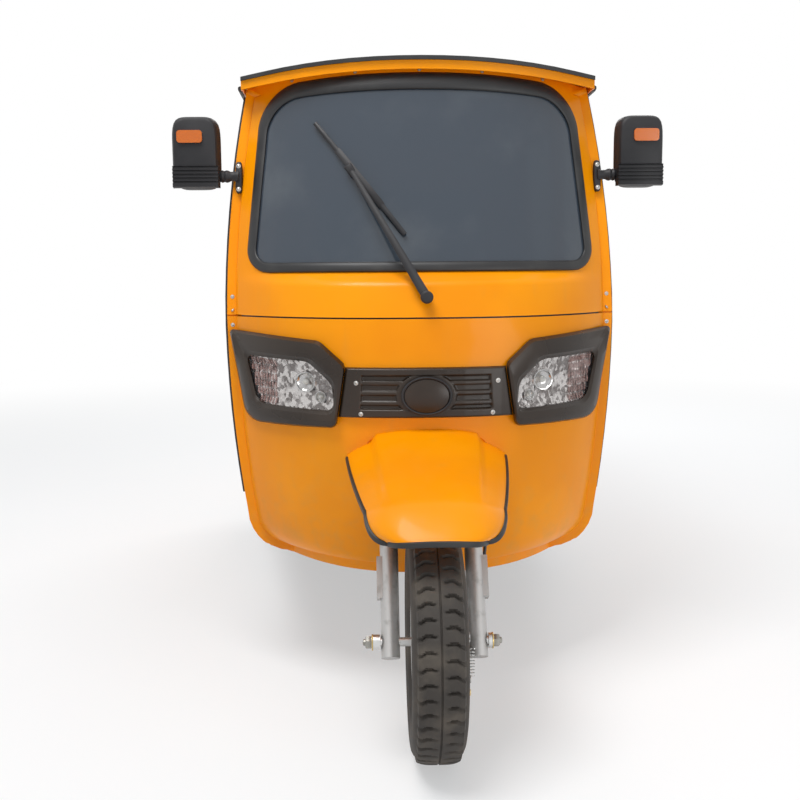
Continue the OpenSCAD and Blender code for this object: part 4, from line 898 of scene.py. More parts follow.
@dataclass
class Surround:
    """Painted surround, seal and windscreen, drawn finely from the cab front's own curves.

    The names follow the construction's driving sizes: heights are above the ground, and reaches are ahead of
    the cab's hoop.
    """

    hoop: float = -0.5545
    lean: float = math.radians(10.0)
    knee: float = 0.968
    width: float = 0.514
    shoulder: float = 0.976
    eave: float = 1.570
    tuck: float = 0.057
    crown: float = 0.032
    crown_run: float = 0.344
    seam: float = 0.970
    belt: float = 0.736
    crest: float = 1.054
    foot: float = 1.079
    rounding: float = 0.0024
    rim: float = 0.026
    reach: float = 0.239
    fall: float = 0.016
    shelf: float = 0.042
    head: float = 0.138
    plan_power: float = 2.5
    step: float = 0.008
    skin: float = 0.006
    gap: float = 0.0003
    screen_drop: float = 0.014
    foot_corner: Spot = (0.456, 0.060)
    head_corner: Spot = (0.427, 0.116)
    middle: Spot = (0.0, 1.33)
    rays: int = 288

    def side(self, z: float) -> float:
        """Half width of the cab at a height above the shoulder."""
        return self.width - self.tuck * (max(0.0, z - self.shoulder) / (self.eave - self.shoulder)) ** 2

    def profile(self, z: float) -> float:
        """Reach of the skin on the middle line: the nose, the shelf below the glass and the sloping screen."""
        if z < self.crest:
            return self.reach + self.fall - self.fall * ((z - self.belt) / (self.crest - self.belt)) ** 3
        if z < self.foot:
            return self.reach - self.shelf * (z - self.crest) / (self.foot - self.crest)
        start = self.reach - self.shelf
        return start - (start - self.head) * (z - self.foot) / (self.eave + self.crown - self.foot)

    def bulge(self, z: float) -> float:
        """The same reach, with the crest below the glass rounded off."""
        window = max(0.0, min(self.rounding, (self.foot - z) / 3))
        return sum(self.profile(z + window * k) for k in range(-3, 4)) / 7

    def front(self, x: float, z: float) -> float:
        """Where the outer skin lies; the rim stands back from the raised panel."""
        edge = self.hoop + max(0.0, z - self.knee) * math.tan(self.lean) - self.skin
        half = self.side(z) - self.rim
        if abs(x) > half + 0.0005:
            return edge
        plan = 1 - min(1.0, abs(x) / half) ** self.plan_power
        return edge - self.step - self.bulge(z) * plan

    def outer(self, inset: float) -> list[Spot]:
        """Outline from the joint up to the eave, drawn in by an inset, which hardly moves the joint's edge."""
        low, top = self.seam + 0.05 * inset, self.eave - inset
        heights = [low + (top - low) * k / 60 for k in range(61)]
        right = [(self.side(z) - inset, z) for z in heights]
        x1 = right[-1][0]
        roof = [(x1 * (1 - k / 40), top + self.crown * (1 - (1 - k / 40) ** 2)) for k in range(1, 80)]
        return right + roof + [(-x, z) for x, z in reversed(right)]

    def crowned(self, x: float, z: float) -> float:
        """Height of a point of the opening, raised as the roof's crown is."""
        rise = self.crown * (max(0.0, z - self.eave + self.crown_run) / self.crown_run) ** 2
        return z + rise * (1 - min(1.0, abs(x) / self.side(self.eave)) ** 2)

    def hole(self, inset: float, extra: float = 0.0) -> list[Spot]:
        """Outline of the screen opening, drawn in by an inset and lowered at its head by an extra."""
        head = self.eave - self.screen_drop - inset - extra
        right = []
        for (half, radius), z, start in ((self.foot_corner, self.foot + inset, -90), (self.head_corner, head, 0)):
            x, r = half - inset, radius - inset
            lift = r if start < 0 else -r
            for k in range(25):
                a = math.radians(start + 90 * k / 24)
                right.append((x - r + r * math.cos(a), z + lift + r * math.sin(a)))
        right = [(x, self.crowned(x, z)) for x, z in right]
        spans = [right[-1][0] * (1 - k / 20) for k in range(1, 40)]
        return right + [(x, self.crowned(x, head)) for x in spans] + [(-x, z) for x, z in reversed(right)]

    def along(self, outline: list[Spot], angle: float) -> Spot:
        """Where a ray from the middle leaves a closed outline."""
        dx, dz = math.cos(angle), math.sin(angle)
        best = (0.0, 0.0, 0.0)
        for (ax, az), (bx, bz) in zip(outline, outline[1:] + outline[:1]):
            px, pz, ex, ez = ax - self.middle[0], az - self.middle[1], bx - ax, bz - az
            area = dx * ez - dz * ex
            if abs(area) < 1e-12:
                continue
            far, share = (px * ez - pz * ex) / area, (px * dz - pz * dx) / area
            if far > best[0] and -1e-6 <= share <= 1 + 1e-6:
                best = (far, self.middle[0] + dx * far, self.middle[1] + dz * far)
        return best[1], best[2]

    def turns(self) -> list[float]:
        """The angles of the rays."""
        return [2 * math.pi * k / self.rays for k in range(self.rays)]

    def point(self, first: Spot, last: Spot, share: float, off: float) -> Vector:
        """A point between two spots of the front, at a distance behind the skin."""
        x, z = (a + (b - a) * share for a, b in zip(first, last))
        return Vector((x, self.front(x, z) + off, z))

    def surround(self) -> None:
        """Makes the surround, closed behind, in place of the faceted node."""
        edge, hole = self.outer(self.rim), self.hole(0.004)
        rims = [self.outer(0.0), self.outer(self.rim - 0.002)]
        corners = [math.atan2(o[k][1] - self.middle[1], o[k][0]) for o in (*rims, edge) for k in (0, 60)]
        angles = sorted(set(self.turns()) | {a % (2 * math.pi) for c in corners for a in (c, math.pi - c)})
        shape = bmesh.new()
        front, back = [], []
        for angle in angles:
            ends = [self.along(outline, angle) for outline in (*rims, edge, hole)]
            spots = [self.point(spot, spot, 0.0, 0.0) for spot in ends[:2]]
            spots += [self.point(ends[2], ends[3], k / 22, 0.0) for k in range(23)]
            front.append([shape.verts.new(p) for p in spots])
            back.append([shape.verts.new(p + Vector((0, self.skin - self.gap, 0))) for p in spots])
        for grid in (front, back):
            Forms.bridge(shape, grid, False, True)
        for m in (0, -1):
            Forms.bridge(shape, [[f[m], b[m]] for f, b in zip(front, back)], False, True)
        Shop.add("surround_skin", Forms.outward(shape), ORANGE, Body.CAB, "screen_surround", smooth=30.0)

    def seal(self) -> None:
        """Makes the rubber seal round the glass, domed on its face."""
        outer, inner = self.hole(self.gap), self.hole(0.026, 0.0125)
        rows = ((0.0, -0.001), (0.06, -0.0052), (0.16, -0.0076), (0.35, -0.0084), (0.62, -0.0084), (0.82, -0.0076),
                (0.95, -0.005), (1.0, -0.002), (1.0, 0.010), (0.0, 0.010))
        shape = bmesh.new()
        rings = []
        for angle in self.turns():
            first, last = self.along(outer, angle), self.along(inner, angle)
            rings.append([shape.verts.new(self.point(first, last, share, off)) for share, off in rows])
        Forms.bridge(shape, rings, True, True)
        Shop.add("screen_rubber", Forms.outward(shape), SEAL, Body.CAB, "screen_seal", smooth=50.0)

    def glass(self) -> None:
        """Makes the windscreen's pane, curved as the cab front is and closed at its edge."""
        edge = self.hole(0.0243, 0.012)
        shape = bmesh.new()
        layers = []
        for off in (0.001, 0.006):
            spots = [self.along(edge, angle) for angle in self.turns()]
            rings = [[shape.verts.new(self.point(spot, self.middle, k / 14, off)) for k in range(14)] for spot in spots]
            tip = shape.verts.new(self.point(self.middle, self.middle, 0.0, off))
            Forms.bridge(shape, rings, False, True)
            for this, after in zip(rings, rings[1:] + rings[:1]):
                shape.faces.new((this[-1], tip, after[-1]))
            layers.append([ring[0] for ring in rings])
        Forms.bridge(shape, layers)
        Shop.add("screen_glass", Forms.outward(shape), GLASS, Body.CAB, "windscreen", smooth=50.0)

    def build(self) -> None:
        """Makes all three."""
        self.surround()
        self.seal()
        self.glass()


@dataclass
class PlainNodes:
    """Nodes whose CAD shape stays and only takes a finish."""

    finishes: dict[Finish, tuple[str, ...]] = field(default_factory=lambda: {
        FRAME: ("chassis_frame", "floor_pan", "steering_head", "rear_tub", "driver_pedestal", "rear_axle",
                "leaf_springs"),
        ORANGE: ("cab_hoop", "centre_posts", "partition", "side_sills", "side_panel_left", "side_panel_right",
                 "rear_panel", "rear_lid"),
        MIRROR: ("mirror_glasses",),
        AMBER: ("mirror_lamps",),
        SEAL: ("brake_cable",),
        GLASS: ("rear_window",),
        RED: ("tail_lamps",),
        PLASTIC: ("rear_bumper", "handlebar"),
        CASE: ("battery_pack",),
        ALLOY: ("fork", "front_brake"),
        STEEL: ("front_spindle",),
        WHEEL: ("front_rim", "rear_rim_left", "rear_rim_right"),
    })

    def dress(self) -> None:
        """Puts each finish into the material slots of its nodes."""
        for finish, nodes in self.finishes.items():
            for node in nodes:
                data = NODES[node].data
                data.materials.clear()
                data.materials.append(finish.material())


@dataclass
class Fasteners:
    """Screws on the roof visor, the pillars and the grille."""

    scatter: Scatter
    front: Surround
    visor_x: tuple[float, ...] = (-0.332, -0.166, -0.002, 0.160, 0.326)
    visor_lift: float = 0.007
    visor_bow: float = 0.13
    pillar_z: tuple[float, ...] = (1.017, 0.982, 0.943)
    pillar_inset: float = 0.014
    grille: tuple[Spot, ...] = ((-0.171, 0.812), (-0.160, 0.736), (0.176, 0.815), (0.163, 0.737))

    def build(self) -> None:
        """Sets every screw on the surface that holds it."""
        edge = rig.box("screen_surround")[1].x - self.pillar_inset
        spots = [("screen_surround" if z > self.front.knee else "nose_panel", side * edge, z)
                 for z in self.pillar_z for side in (-1, 1)]
        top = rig.box("screen_seal")[1].z + self.visor_lift
        spots += [("screen_surround", x, top - self.visor_bow * x * x) for x in self.visor_x]
        self.row("panel_screws", spots, 0.0036)
        self.row("grille_screws", [("grille_panel", x, z) for x, z in self.grille], 0.0040)

    def row(self, name: str, spots: Sequence[tuple[str, float, float]], radius: float) -> None:
        """Sets one row of screws.

        Args:
            name: the piece's name.
            spots: node, x and z of each screw.
            radius: radius of the heads.
        """
        places = []
        for node, x, z in spots:
            point, normal = Shop.hit(node, x, z)
            if node == "screen_surround":
                point.y = self.front.front(x, z)
            places.append((point, facing(normal)))
        self.scatter.spread(name, Forms.screw(radius), places, FASTENER)


@dataclass
class Lamps:
    """What shows behind the headlamp lenses: dish, bulb, side light and the fluted indicator."""

    scatter: Scatter
    dish: Place = (0.297, 0.808, 0.024)
    small: Place = (0.258, 0.773, 0.013)
    flute_x: tuple[float, float, int] = (0.378, 0.442, 9)
    flute_z: tuple[float, float, int] = (0.752, 0.020, 6)
    flute_lean: float = 0.10

    def bowl(self, name: str, spot: Place) -> None:
        """Makes the round dish of one lamp on both sides.

        Args:
            name: the piece's name.
            spot: x, z and radius.
        """
        x, z, r = spot
        rim = [(0, 0.0005), (r * 0.5, 0.0015), (r * 0.86, 0.005), (r * 0.96, 0.008), (r * 1.08, 0.0085),
               (r * 1.14, 0.004), (r * 1.16, -0.004), (0, -0.004)]
        bulb = [(0, 0.0), (r * 0.30, 0.0), (r * 0.34, 0.003), (r * 0.30, 0.0075), (r * 0.16, 0.0098), (0, 0.0102)]
        places = []
        for side in (-1, 1):
            point, normal = Shop.hit("lamp_bowls", side * x, z)
            aim = (normal + FORWARD * 1.2).normalized()
            places.append((point + aim * 0.0015, facing(aim)))
        self.scatter.spread(name + "_dishes", Forms.turned(rim, 28), places, DISH)
        self.scatter.spread(name + "_bulbs", Forms.turned(bulb, 16), places, LAMP_BULB)

    @staticmethod
    def inside(x: float, z: float, margin: float = 0.009) -> bool:
        """Whether the bowl reaches past a spot by the margin on every side."""
        try:
            for dx, dz in ((margin, 0), (-margin, 0), (0, margin), (0, -margin)):
                Shop.hit("lamp_bowls", x + dx, z + dz)
        except ValueError:
            return False
        return True

    def build(self) -> None:
        """Makes both dishes and the fluted indicators."""
        self.bowl("main_lamp", self.dish)
        self.bowl("side_light", self.small)
        (x0, x1, count), (z0, pitch, rows) = self.flute_x, self.flute_z
        places = []
        for side in (-1, 1):
            for k in range(count):
                x = x0 + (x1 - x0) * k / (count - 1)
                for row in range(rows):
                    z = z0 + pitch * row + self.flute_lean * (x - x0)
                    if self.inside(side * x, z):
                        point, normal = Shop.hit("lamp_bowls", side * x, z)
                        places.append((point, facing(normal)))
        flute = Forms.block((0.0062, 0.0205, 0.0042), 0.0014, 0.6)
        self.scatter.spread("indicator_flutes", flute, places, BLUSH)


@dataclass
class Badge:
    """The grille: a framed recess with bars, and a blank oval boss with a domed plate inside a raised ring."""

    half: Spot = (0.061, 0.046)
    height: float = 0.781
    ends: Spot = (0.2165, 0.1975)
    tall: float = 0.124
    bars: tuple[float, ...] = (0.30, 0.50, 0.70)
    boss_share: float = 0.452
    floor: float = 0.0045
    grid: tuple[int, int] = (168, 72)

    def rise(self, x: float, share: float, end: float) -> float:
        """How far the grille stands off the nose.

        Args:
            x: metres from the middle.
            share: height share from the bottom edge.
            end: half width at that height.

        Returns:
            The stand-off in metres.
        """
        step = Forms.soft_step
        edge = min(end - abs(x), self.tall * share, self.tall * (1 - share))
        frame_in = min(end - 0.052 + 0.012 * share - abs(x), self.tall * (share - 0.16), self.tall * (0.86 - share))
        rim = 1 - step(frame_in, 0.0, 0.006)
        bar = max(1 - step(abs(share - b), 0.030, 0.062) for b in self.bars)
        away = (share - self.boss_share) * self.tall
        boss = 1 - step(math.hypot(x / (self.half[0] + 0.010), away / (self.half[1] + 0.008)), 1.0, 1.10)
        top = max(0.0135 * rim, 0.0105 * bar, 0.0125 * boss)
        return 0.0006 + max(self.floor, top) * step(edge, -0.0005, 0.004)

    def panel(self) -> None:
        """Makes the framed recess and its bars over the nose's own curve."""
        low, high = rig.box("grille_panel")
        shape = bmesh.new()
        cols, rows = self.grid
        lines = []
        for j in range(rows + 1):
            share = j / rows
            end = self.ends[0] + (self.ends[1] - self.ends[0]) * share
            z = low.z + (high.z - low.z) * share
            line = []
            for i in range(cols + 1):
                x = end * (2 * i / cols - 1)
                skin = Shop.hit("nose_panel", x, z)[0]
                line.append(shape.verts.new((x, skin.y - self.rise(x, share, end), z)))
            lines.append(line)
        Forms.bridge(shape, lines, False)
        Shop.add("grille_frame", shape, MASK, Body.CAB, "grille_panel", smooth=50.0)

    def build(self) -> None:
        """Makes the frame, the dome and the ring."""
        self.panel()
        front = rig.box("grille_panel")[0].y
        dome = Forms.turned([(1.0, -0.001), (1.0, 0.002), (0.8, 0.0048), (0.5, 0.0068), (0.2, 0.0077), (0, 0.0079)], 40)
        for vert in dome.verts:
            x, y, z = vert.co
            vert.co = Vector((x * self.half[0] * 0.88, front - z, self.height + y * self.half[1] * 0.88))
        Shop.add("boss_plate", Forms.outward(dome), MASK, Body.CAB)
        oval = Forms.oval((self.half[0] * 0.97, self.half[1] * 0.97), 2.0, 48, 0.0)
        path = [Vector((a, front - 0.0005, self.height + b)) for a, b in oval]
        Shop.add("boss_ring", Forms.swept(path, Forms.round_wire(0.0034), FORWARD, True), PLASTIC, Body.CAB)


@dataclass
class Fender:
    """The front fender: a beak with a raised middle panel, a rolled front edge and a rubber lip."""

    reach: float = 0.185
    top: float = 0.689
    half: float = 0.196
    nose_half: float = 0.145
    bend: float = 0.80
    thick: float = 0.005
    cols: int = 72
    rows: int = 56
    lip: tuple[Spot, ...] = ((-0.0016, -0.0105), (0.0042, -0.0095), (0.0052, -0.004), (0.0046, 0.0012),
                             (0.0024, 0.0026), (-0.0012, 0.0022), (-0.0030, -0.002))

    def width(self, v: float) -> float:
        """Half width along the fender, 0 at the nose and 1 at the lip."""
        taper = self.half + (self.nose_half - self.half) * (min(v, self.bend) / 0.86) ** 1.3
        if v < self.bend:
            return taper
        return taper - 0.046 * (1 - math.sqrt(max(0.0, 1 - ((v - self.bend) / 0.20) ** 2.2)))

    def height(self, u: float, v: float) -> float:
        """Height of the skin: a long slope, falling sides, the raised panel and the rolled edge."""
        slope = self.top - 0.008 - 0.092 * v - 0.006 * v * v
        roll = 0.045 * max(0.0, (v - self.bend) / 0.20) ** 1.5
        drop = (0.050 - 0.016 * min(1.0, v * 1.1)) * (1 - 0.66 * v ** 8)
        fade = max(0.0, 1 - v / 0.84)
        panel = 0.017 * fade * (1 - Forms.soft_step(abs(u), 0.63, 0.72))
        return slope - roll - drop * abs(u) ** 3 + panel

    @staticmethod
    def root(x: float, z: float) -> float:
        """Where the nose's skin lies, also over the fork's opening, where the skin above it counts."""
        for k in range(12):
            try:
                return Shop.hit("nose_panel", x, z + 0.01 * k)[0].y
            except ValueError:
                continue
        raise ValueError("the fender misses the nose")

    def spot(self, u: float, v: float) -> Vector:
        """A point of the outer skin."""
        start = self.root(self.half * u, self.height(u, 0.0)) + 0.003
        end = FRONT_AXLE[1] - self.reach + 0.058 * abs(u) ** 5 * v
        return Vector((self.width(v) * u, start + (end - start) * v, self.height(u, v)))

    def build(self) -> None:
        """Makes the skin, closed underneath, and the lip along its free edge."""
        shape = bmesh.new()
        us = [2 * k / self.cols - 1 for k in range(self.cols + 1)]
        vs = [1 - (1 - k / self.rows) ** 1.4 for k in range(self.rows + 1)]
        points = [[self.spot(u, v) for u in us] for v in vs]
        vs.insert(0, 0.0)
        points.insert(0, [p + Vector((0, 0.0035, 0.015)) for p in points[0]])
        inside = [[p + Vector((-self.thick * u, self.thick * v, -self.thick)) for u, p in zip(us, line)]
                  for v, line in zip(vs, points)]
        over, under = [[[shape.verts.new(p) for p in line] for line in grid] for grid in (points, inside)]
        for grid in (over, under):
            Forms.bridge(shape, grid, False)
        for m in (0, -1):
            Forms.bridge(shape, [[line[m] for line in over], [line[m] for line in under]], False)
        for m in (0, -1):
            Forms.bridge(shape, [over[m], under[m]], False)
        Shop.add("fender_shell", Forms.outward(shape), ORANGE, Body.CAB, "front_fender", smooth=30.0)
        edge = [line[0] for line in points[3:-1]] + points[-1] + [line[-1] for line in reversed(points[3:-1])]
        lip = Forms.swept(edge, lambda _: self.lip, UP)
        Shop.add("fender_edging", lip, SEAL, Body.CAB, "fender_lip", smooth=50.0)


@dataclass
class SeamShade:
    """A dark rubber strip behind the open joint between nose and screen surround, as painted shade: it makes the gap
    read as a line of shade.
    """

    height: float = 0.968
    half: float = 0.470
    behind: float = 0.0125

    def build(self) -> None:
        """Lays a rubber strip along the joint, just behind the skin."""
        path = []
        for k in range(61):
            x = self.half * (k / 30 - 1)
            skin = max(Shop.hit("nose_panel", x, self.height - 0.008)[0].y,
                       Shop.hit("screen_surround", x, self.height + 0.008)[0].y)
            path.append(Vector((x, skin + self.behind, self.height)))
        section = [(-0.004, -0.007), (0.0, -0.008), (0.004, -0.007), (0.004, 0.007), (0.0, 0.008), (-0.004, 0.007)]
        # painted shade: the black strip stands in for the shade inside the joint's gap
        Shop.add("seam_packing", Forms.swept(path, lambda _: section, UP), SEAL, Body.CAB)


@dataclass
class Mirrors:
    """Mirror housings with drafted shells, a ribbed band, bellows on the arms and pillar plates."""

    scatter: Scatter
    half: Spot = (0.062, 0.094)
    depth: float = 0.022
    height: float = 1.394
    arm: float = 1.334
    pillar: float = 0.4933
    plate_inset: float = 0.0135
    plate_half: Spot = (0.0092, 0.042)
    folds: tuple[float, ...] = (0.0150, 0.0150, 0.0125, 0.0125, 0.0125, 0.0155, 0.0165, 0.0145, 0.0165, 0.0145,
                                0.0170, 0.0180, 0.0180)

    def shell(self, x: float, y: float) -> bmesh.types.BMesh:
        """The drafted shell of one housing.

        Args:
            x: its middle across the cart.
            y: the arm's place along the cart.

        Returns:
            The closed mesh.
        """
        rows = ((-0.034, 0.80), (-0.0325, 0.87), (-0.028, 0.93), (-0.019, 0.972), (-0.006, 0.992), (0.010, 1.0),
                (0.0195, 1.0), (0.0217, 0.985), (0.0215, 0.93), (0.0205, 0.92))
        loops = []
        for depth, scale in rows:
            ring = Forms.oval((self.half[0] * scale, self.half[1] * (0.35 + 0.65 * scale)), 5.0, 56)
            loops.append([Vector((x + a, y + depth, self.height + b)) for a, b in ring])
        return Forms.loft(loops)

    def band(self, x: float, y: float) -> bmesh.types.BMesh:
        """The ribbed band across the front of one housing, at the arm's height."""
        steps = [(-0.027, -0.031), (-0.025, -0.0385)]
        for k in range(5):
            z = -0.020 + 0.0095 * k
            steps += [(z, -0.0392), (z + 0.0042, -0.0398), (z + 0.0052, -0.0352), (z + 0.0082, -0.0352)]
        steps += [(0.0285, -0.0385), (0.030, -0.031)]
        right = [(0.050, 0.0), (0.0598, 0.004), (0.0612, 0.014)]
        base = self.arm - 0.004
        loops = []
        for a, sink in [(-a, sink) for a, sink in reversed(right)] + right:
            front = [Vector((x + a, y + d + sink, base + b)) for b, d in steps]
            back = [Vector((x + a, y - 0.012 + sink * 0.5, base + b)) for b in (0.030, -0.027)]
            loops.append(front + back)
        return Forms.loft(loops)

    def plate(self, side: int) -> bmesh.types.BMesh:
        """The plate on one pillar that holds the arm."""
        loops = []
        for depth, shrink in ((0.0, 1.0), (-0.010, 1.0), (-0.0145, 0.9), (-0.016, 0.7)):
            ring = Forms.oval((self.plate_half[0] * shrink, self.plate_half[1] * (0.55 + 0.45 * shrink)), 4.0, 32)
            loops.append([self.on_pillar(side, a, b, depth) for a, b in ring])
        return Forms.loft(loops)

    def on_pillar(self, side: int, out: float, rise: float, depth: float) -> Vector:
        """A point off the pillar's leaning face, by its distances from the plate's middle."""
        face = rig.box("mirror_housings")[1].y - self.depth + 0.012 - 0.0003 + 0.1763 * rise
        return Vector((side * (self.pillar - self.plate_inset + out), face + depth, self.arm - 0.003 + rise))

    def build(self) -> None:
        """Makes both housings, arms and plates, and their screws."""
        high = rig.box("mirror_housings")[1]
        x, y = high.x - self.half[0], high.y - self.depth
        start, end = self.pillar - 0.014, x - 0.045
        parts, screws = [], []
        for side in (-1, 1):
            path = [Vector((side * (start + (end - start) * k / 12), y, self.arm)) for k in range(13)]
            arm = Forms.swept(path, lambda k: Forms.oval((self.folds[k], self.folds[k]), 2.0, 16), UP)
            parts += [self.shell(side * x, y), self.band(side * x, y), arm, self.plate(side)]
            for rise in (-0.031, 0.030):
                screws.append((self.on_pillar(side, 0.0, rise, -0.0155), facing(Vector((0, -1, 0.15)))))
        Shop.add("mirror_shells", Forms.joined(parts), PLASTIC, Body.CAB, "mirror_housings", smooth=30.0)
        self.scatter.spread("mirror_screws", Forms.screw(0.0042), screws, FASTENER)


@dataclass
class Wheel:
    """One wheel: a tyre's carcass, its grooved tread, and the hub's nuts."""

    scatter: Scatter
    name: str
    tyre: str
    body: Body
    centre: Place
    outer: int
    rows: int = 50
    radius: float = 0.261
    groove: float = 0.0085
    band: float = 0.0465
    sides: int = 112
    hub_radius: float = 0.055
    hub_nuts: int = 5

    def build(self) -> None:
        """Makes the carcass, the tread and the nuts."""
        self.carcass()
        self.tread()
        self.hub()

    def at(self, x: float, radius: float, turn: float) -> Vector:
        """A point of the wheel at a share of its whole turn."""
        a = 2 * math.pi * turn
        return Vector(self.centre) + Vector((x, radius * math.cos(a), radius * math.sin(a)))

    def carcass(self) -> None:
        """The tyre's own body, with the tread's depth taken off and moulded rings on the sidewalls."""
        edge = [(0.154, 0.0365), (0.1665, 0.040), (0.1745, 0.046), (0.186, 0.0535), (0.1935, 0.0562), (0.1955, 0.0555),
                (0.1985, 0.0570), (0.2105, 0.059), (0.2190, 0.0588), (0.2220, 0.0575), (0.2245, 0.0581),
                (0.231, 0.0568), (0.2395, 0.0530), (0.2468, 0.0455), (0.2508, 0.030), (0.2525, 0.012), (0.2528, 0.0)]
        inner = [(0.236, 0.0), (0.2265, 0.044), (0.2025, 0.0465), (0.177, 0.031), (0.154, 0.0325)]
        profile = edge + [(a, -b) for a, b in reversed(edge[:-1])] + [(a, -b) for a, b in reversed(inner[1:])] + inner
        shape = bmesh.new()
        loops = [[shape.verts.new(self.at(x, radius, k / self.sides)) for radius, x in profile]
                 for k in range(self.sides)]
        Forms.bridge(shape, loops, True, True)
        Shop.add(self.name + "_carcass", Forms.outward(shape), TYRE, self.body, self.tyre, smooth=50.0)

    def land(self, x: float, turn: float) -> float:
        """Radius of the tread at a place.

        Args:
            x: metres from the tyre's middle.
            turn: share of the whole turn.

        Returns:
            The radius, with the curved side grooves and the centre groove taken off.
        """
        step = Forms.soft_step
        t = min(1.0, abs(x) / self.band)
        crest = self.radius - 0.0002 - 0.0062 * t ** 4
        curl = 0.30 * (1 - t) ** 2 - 0.10 * math.sin(2.6 * math.pi * t)
        phase = (turn * self.rows + curl + (0.5 if x > 0 else 0.0)) % 1.0
        near = min(phase, 1.0 - phase)
        width = 0.085 + 0.075 * t
        cut = 1 - step(near, width * 0.55, width)
        fade = step(t, 0.08, 0.34)
        middle = 1 - step(abs(x), 0.0009, 0.0024)
        return crest - max(self.groove * 0.92 * cut * fade, 0.0032 * middle)

    def tread(self) -> None:
        """A tread band of broad lugs: curved grooves from each shoulder and one thin groove round the middle."""
        left = [-1.0, -0.985, -0.93, -0.84, -0.74, -0.64, -0.54, -0.44, -0.34, -0.25, -0.16, -0.09, -0.052, -0.034,
                -0.018]
        across = [a * self.band for a in left + [0.0] + [-a for a in reversed(left)]]
        root, end = self.radius - 0.020, self.band + 0.0035
        around = self.rows * 10
        shape = bmesh.new()
        loops = []
        for k in range(around):
            turn = k / around
            spots = [(-end, root)] + [(x, self.land(x, turn)) for x in across] + [(end, root)]
            loops.append([shape.verts.new(self.at(x, radius, turn)) for x, radius in spots])
        Forms.bridge(shape, loops, False, True)
        Shop.add(self.name + "_tread", Forms.outward(shape), TYRE, self.body, smooth=38.0)

    def hub(self) -> None:
        """Nuts on the outer face of the disc."""
        turn = Euler((0.0, self.outer * math.pi / 2, 0.0))
        places = [(self.at(self.outer * 0.005, self.hub_radius, (k + 0.5) / self.hub_nuts), turn)
                  for k in range(self.hub_nuts)]
        self.scatter.spread(self.name + "_hub_nuts", Forms.nut(0.0105, 0.011), places, FASTENER, self.body)


@dataclass
class FrontAxle:
    """Nuts, washers, return spring and adjuster of the front axle and brake."""

    scatter: Scatter
    nut_left: float = 0.140
    nut_right: float = 0.132
    washer_gap: float = 0.003
    spring: tuple[float, float, float, int] = (0.0805, 0.0058, 0.062, 9)
    spring_top: float = 0.004
    ahead: float = 0.040
    coil_steps: int = 14

    def build(self) -> None:
        """Makes the small parts round the fork's foot."""
        _, y, z = FRONT_AXLE
        nuts, washers = [], []
        for side, x in ((-1, self.nut_left), (1, self.nut_right)):
            turn = Euler((0, side * math.pi / 2, 0))
            nuts.append((Vector((side * x, y, z)), turn))
            washers.append((Vector((side * (x - self.washer_gap), y, z)), turn))
        self.scatter.spread("axle_nuts", Forms.nut(0.0145, 0.014), nuts, BOLT, Body.STEERING)
        ring = [(0.0101, 0.0), (0.0178, 0.0), (0.0184, 0.0012), (0.0178, 0.0028), (0.0101, 0.0028), (0.0101, 0.0)]
        self.scatter.spread("zinc_washers", Forms.turned(ring, 28), washers, ZINC, Body.STEERING)
        coil = Forms.swept(self.coil(), Forms.round_wire(0.0011, 6), UP)
        Shop.add("return_spring", coil, STEEL, Body.STEERING)
        brass = [(Vector((0.0695, y - self.ahead, z - 0.110)), Euler((0, 0, 0.3)))]
        self.scatter.spread("adjuster_nut", Forms.nut(0.0095, 0.012), brass, ZINC, Body.STEERING)

    def coil(self) -> list[Vector]:
        """The middle line of the return spring, from its top down."""
        _, y, z = FRONT_AXLE
        x, radius, length, turns = self.spring
        count = turns * self.coil_steps
        path = []
        for k in range(count + 1):
            a = 2 * math.pi * k / self.coil_steps
            path.append(Vector((x + radius * math.cos(a), y - self.ahead + radius * math.sin(a),
                                z - self.spring_top - length * k / count)))
        return path


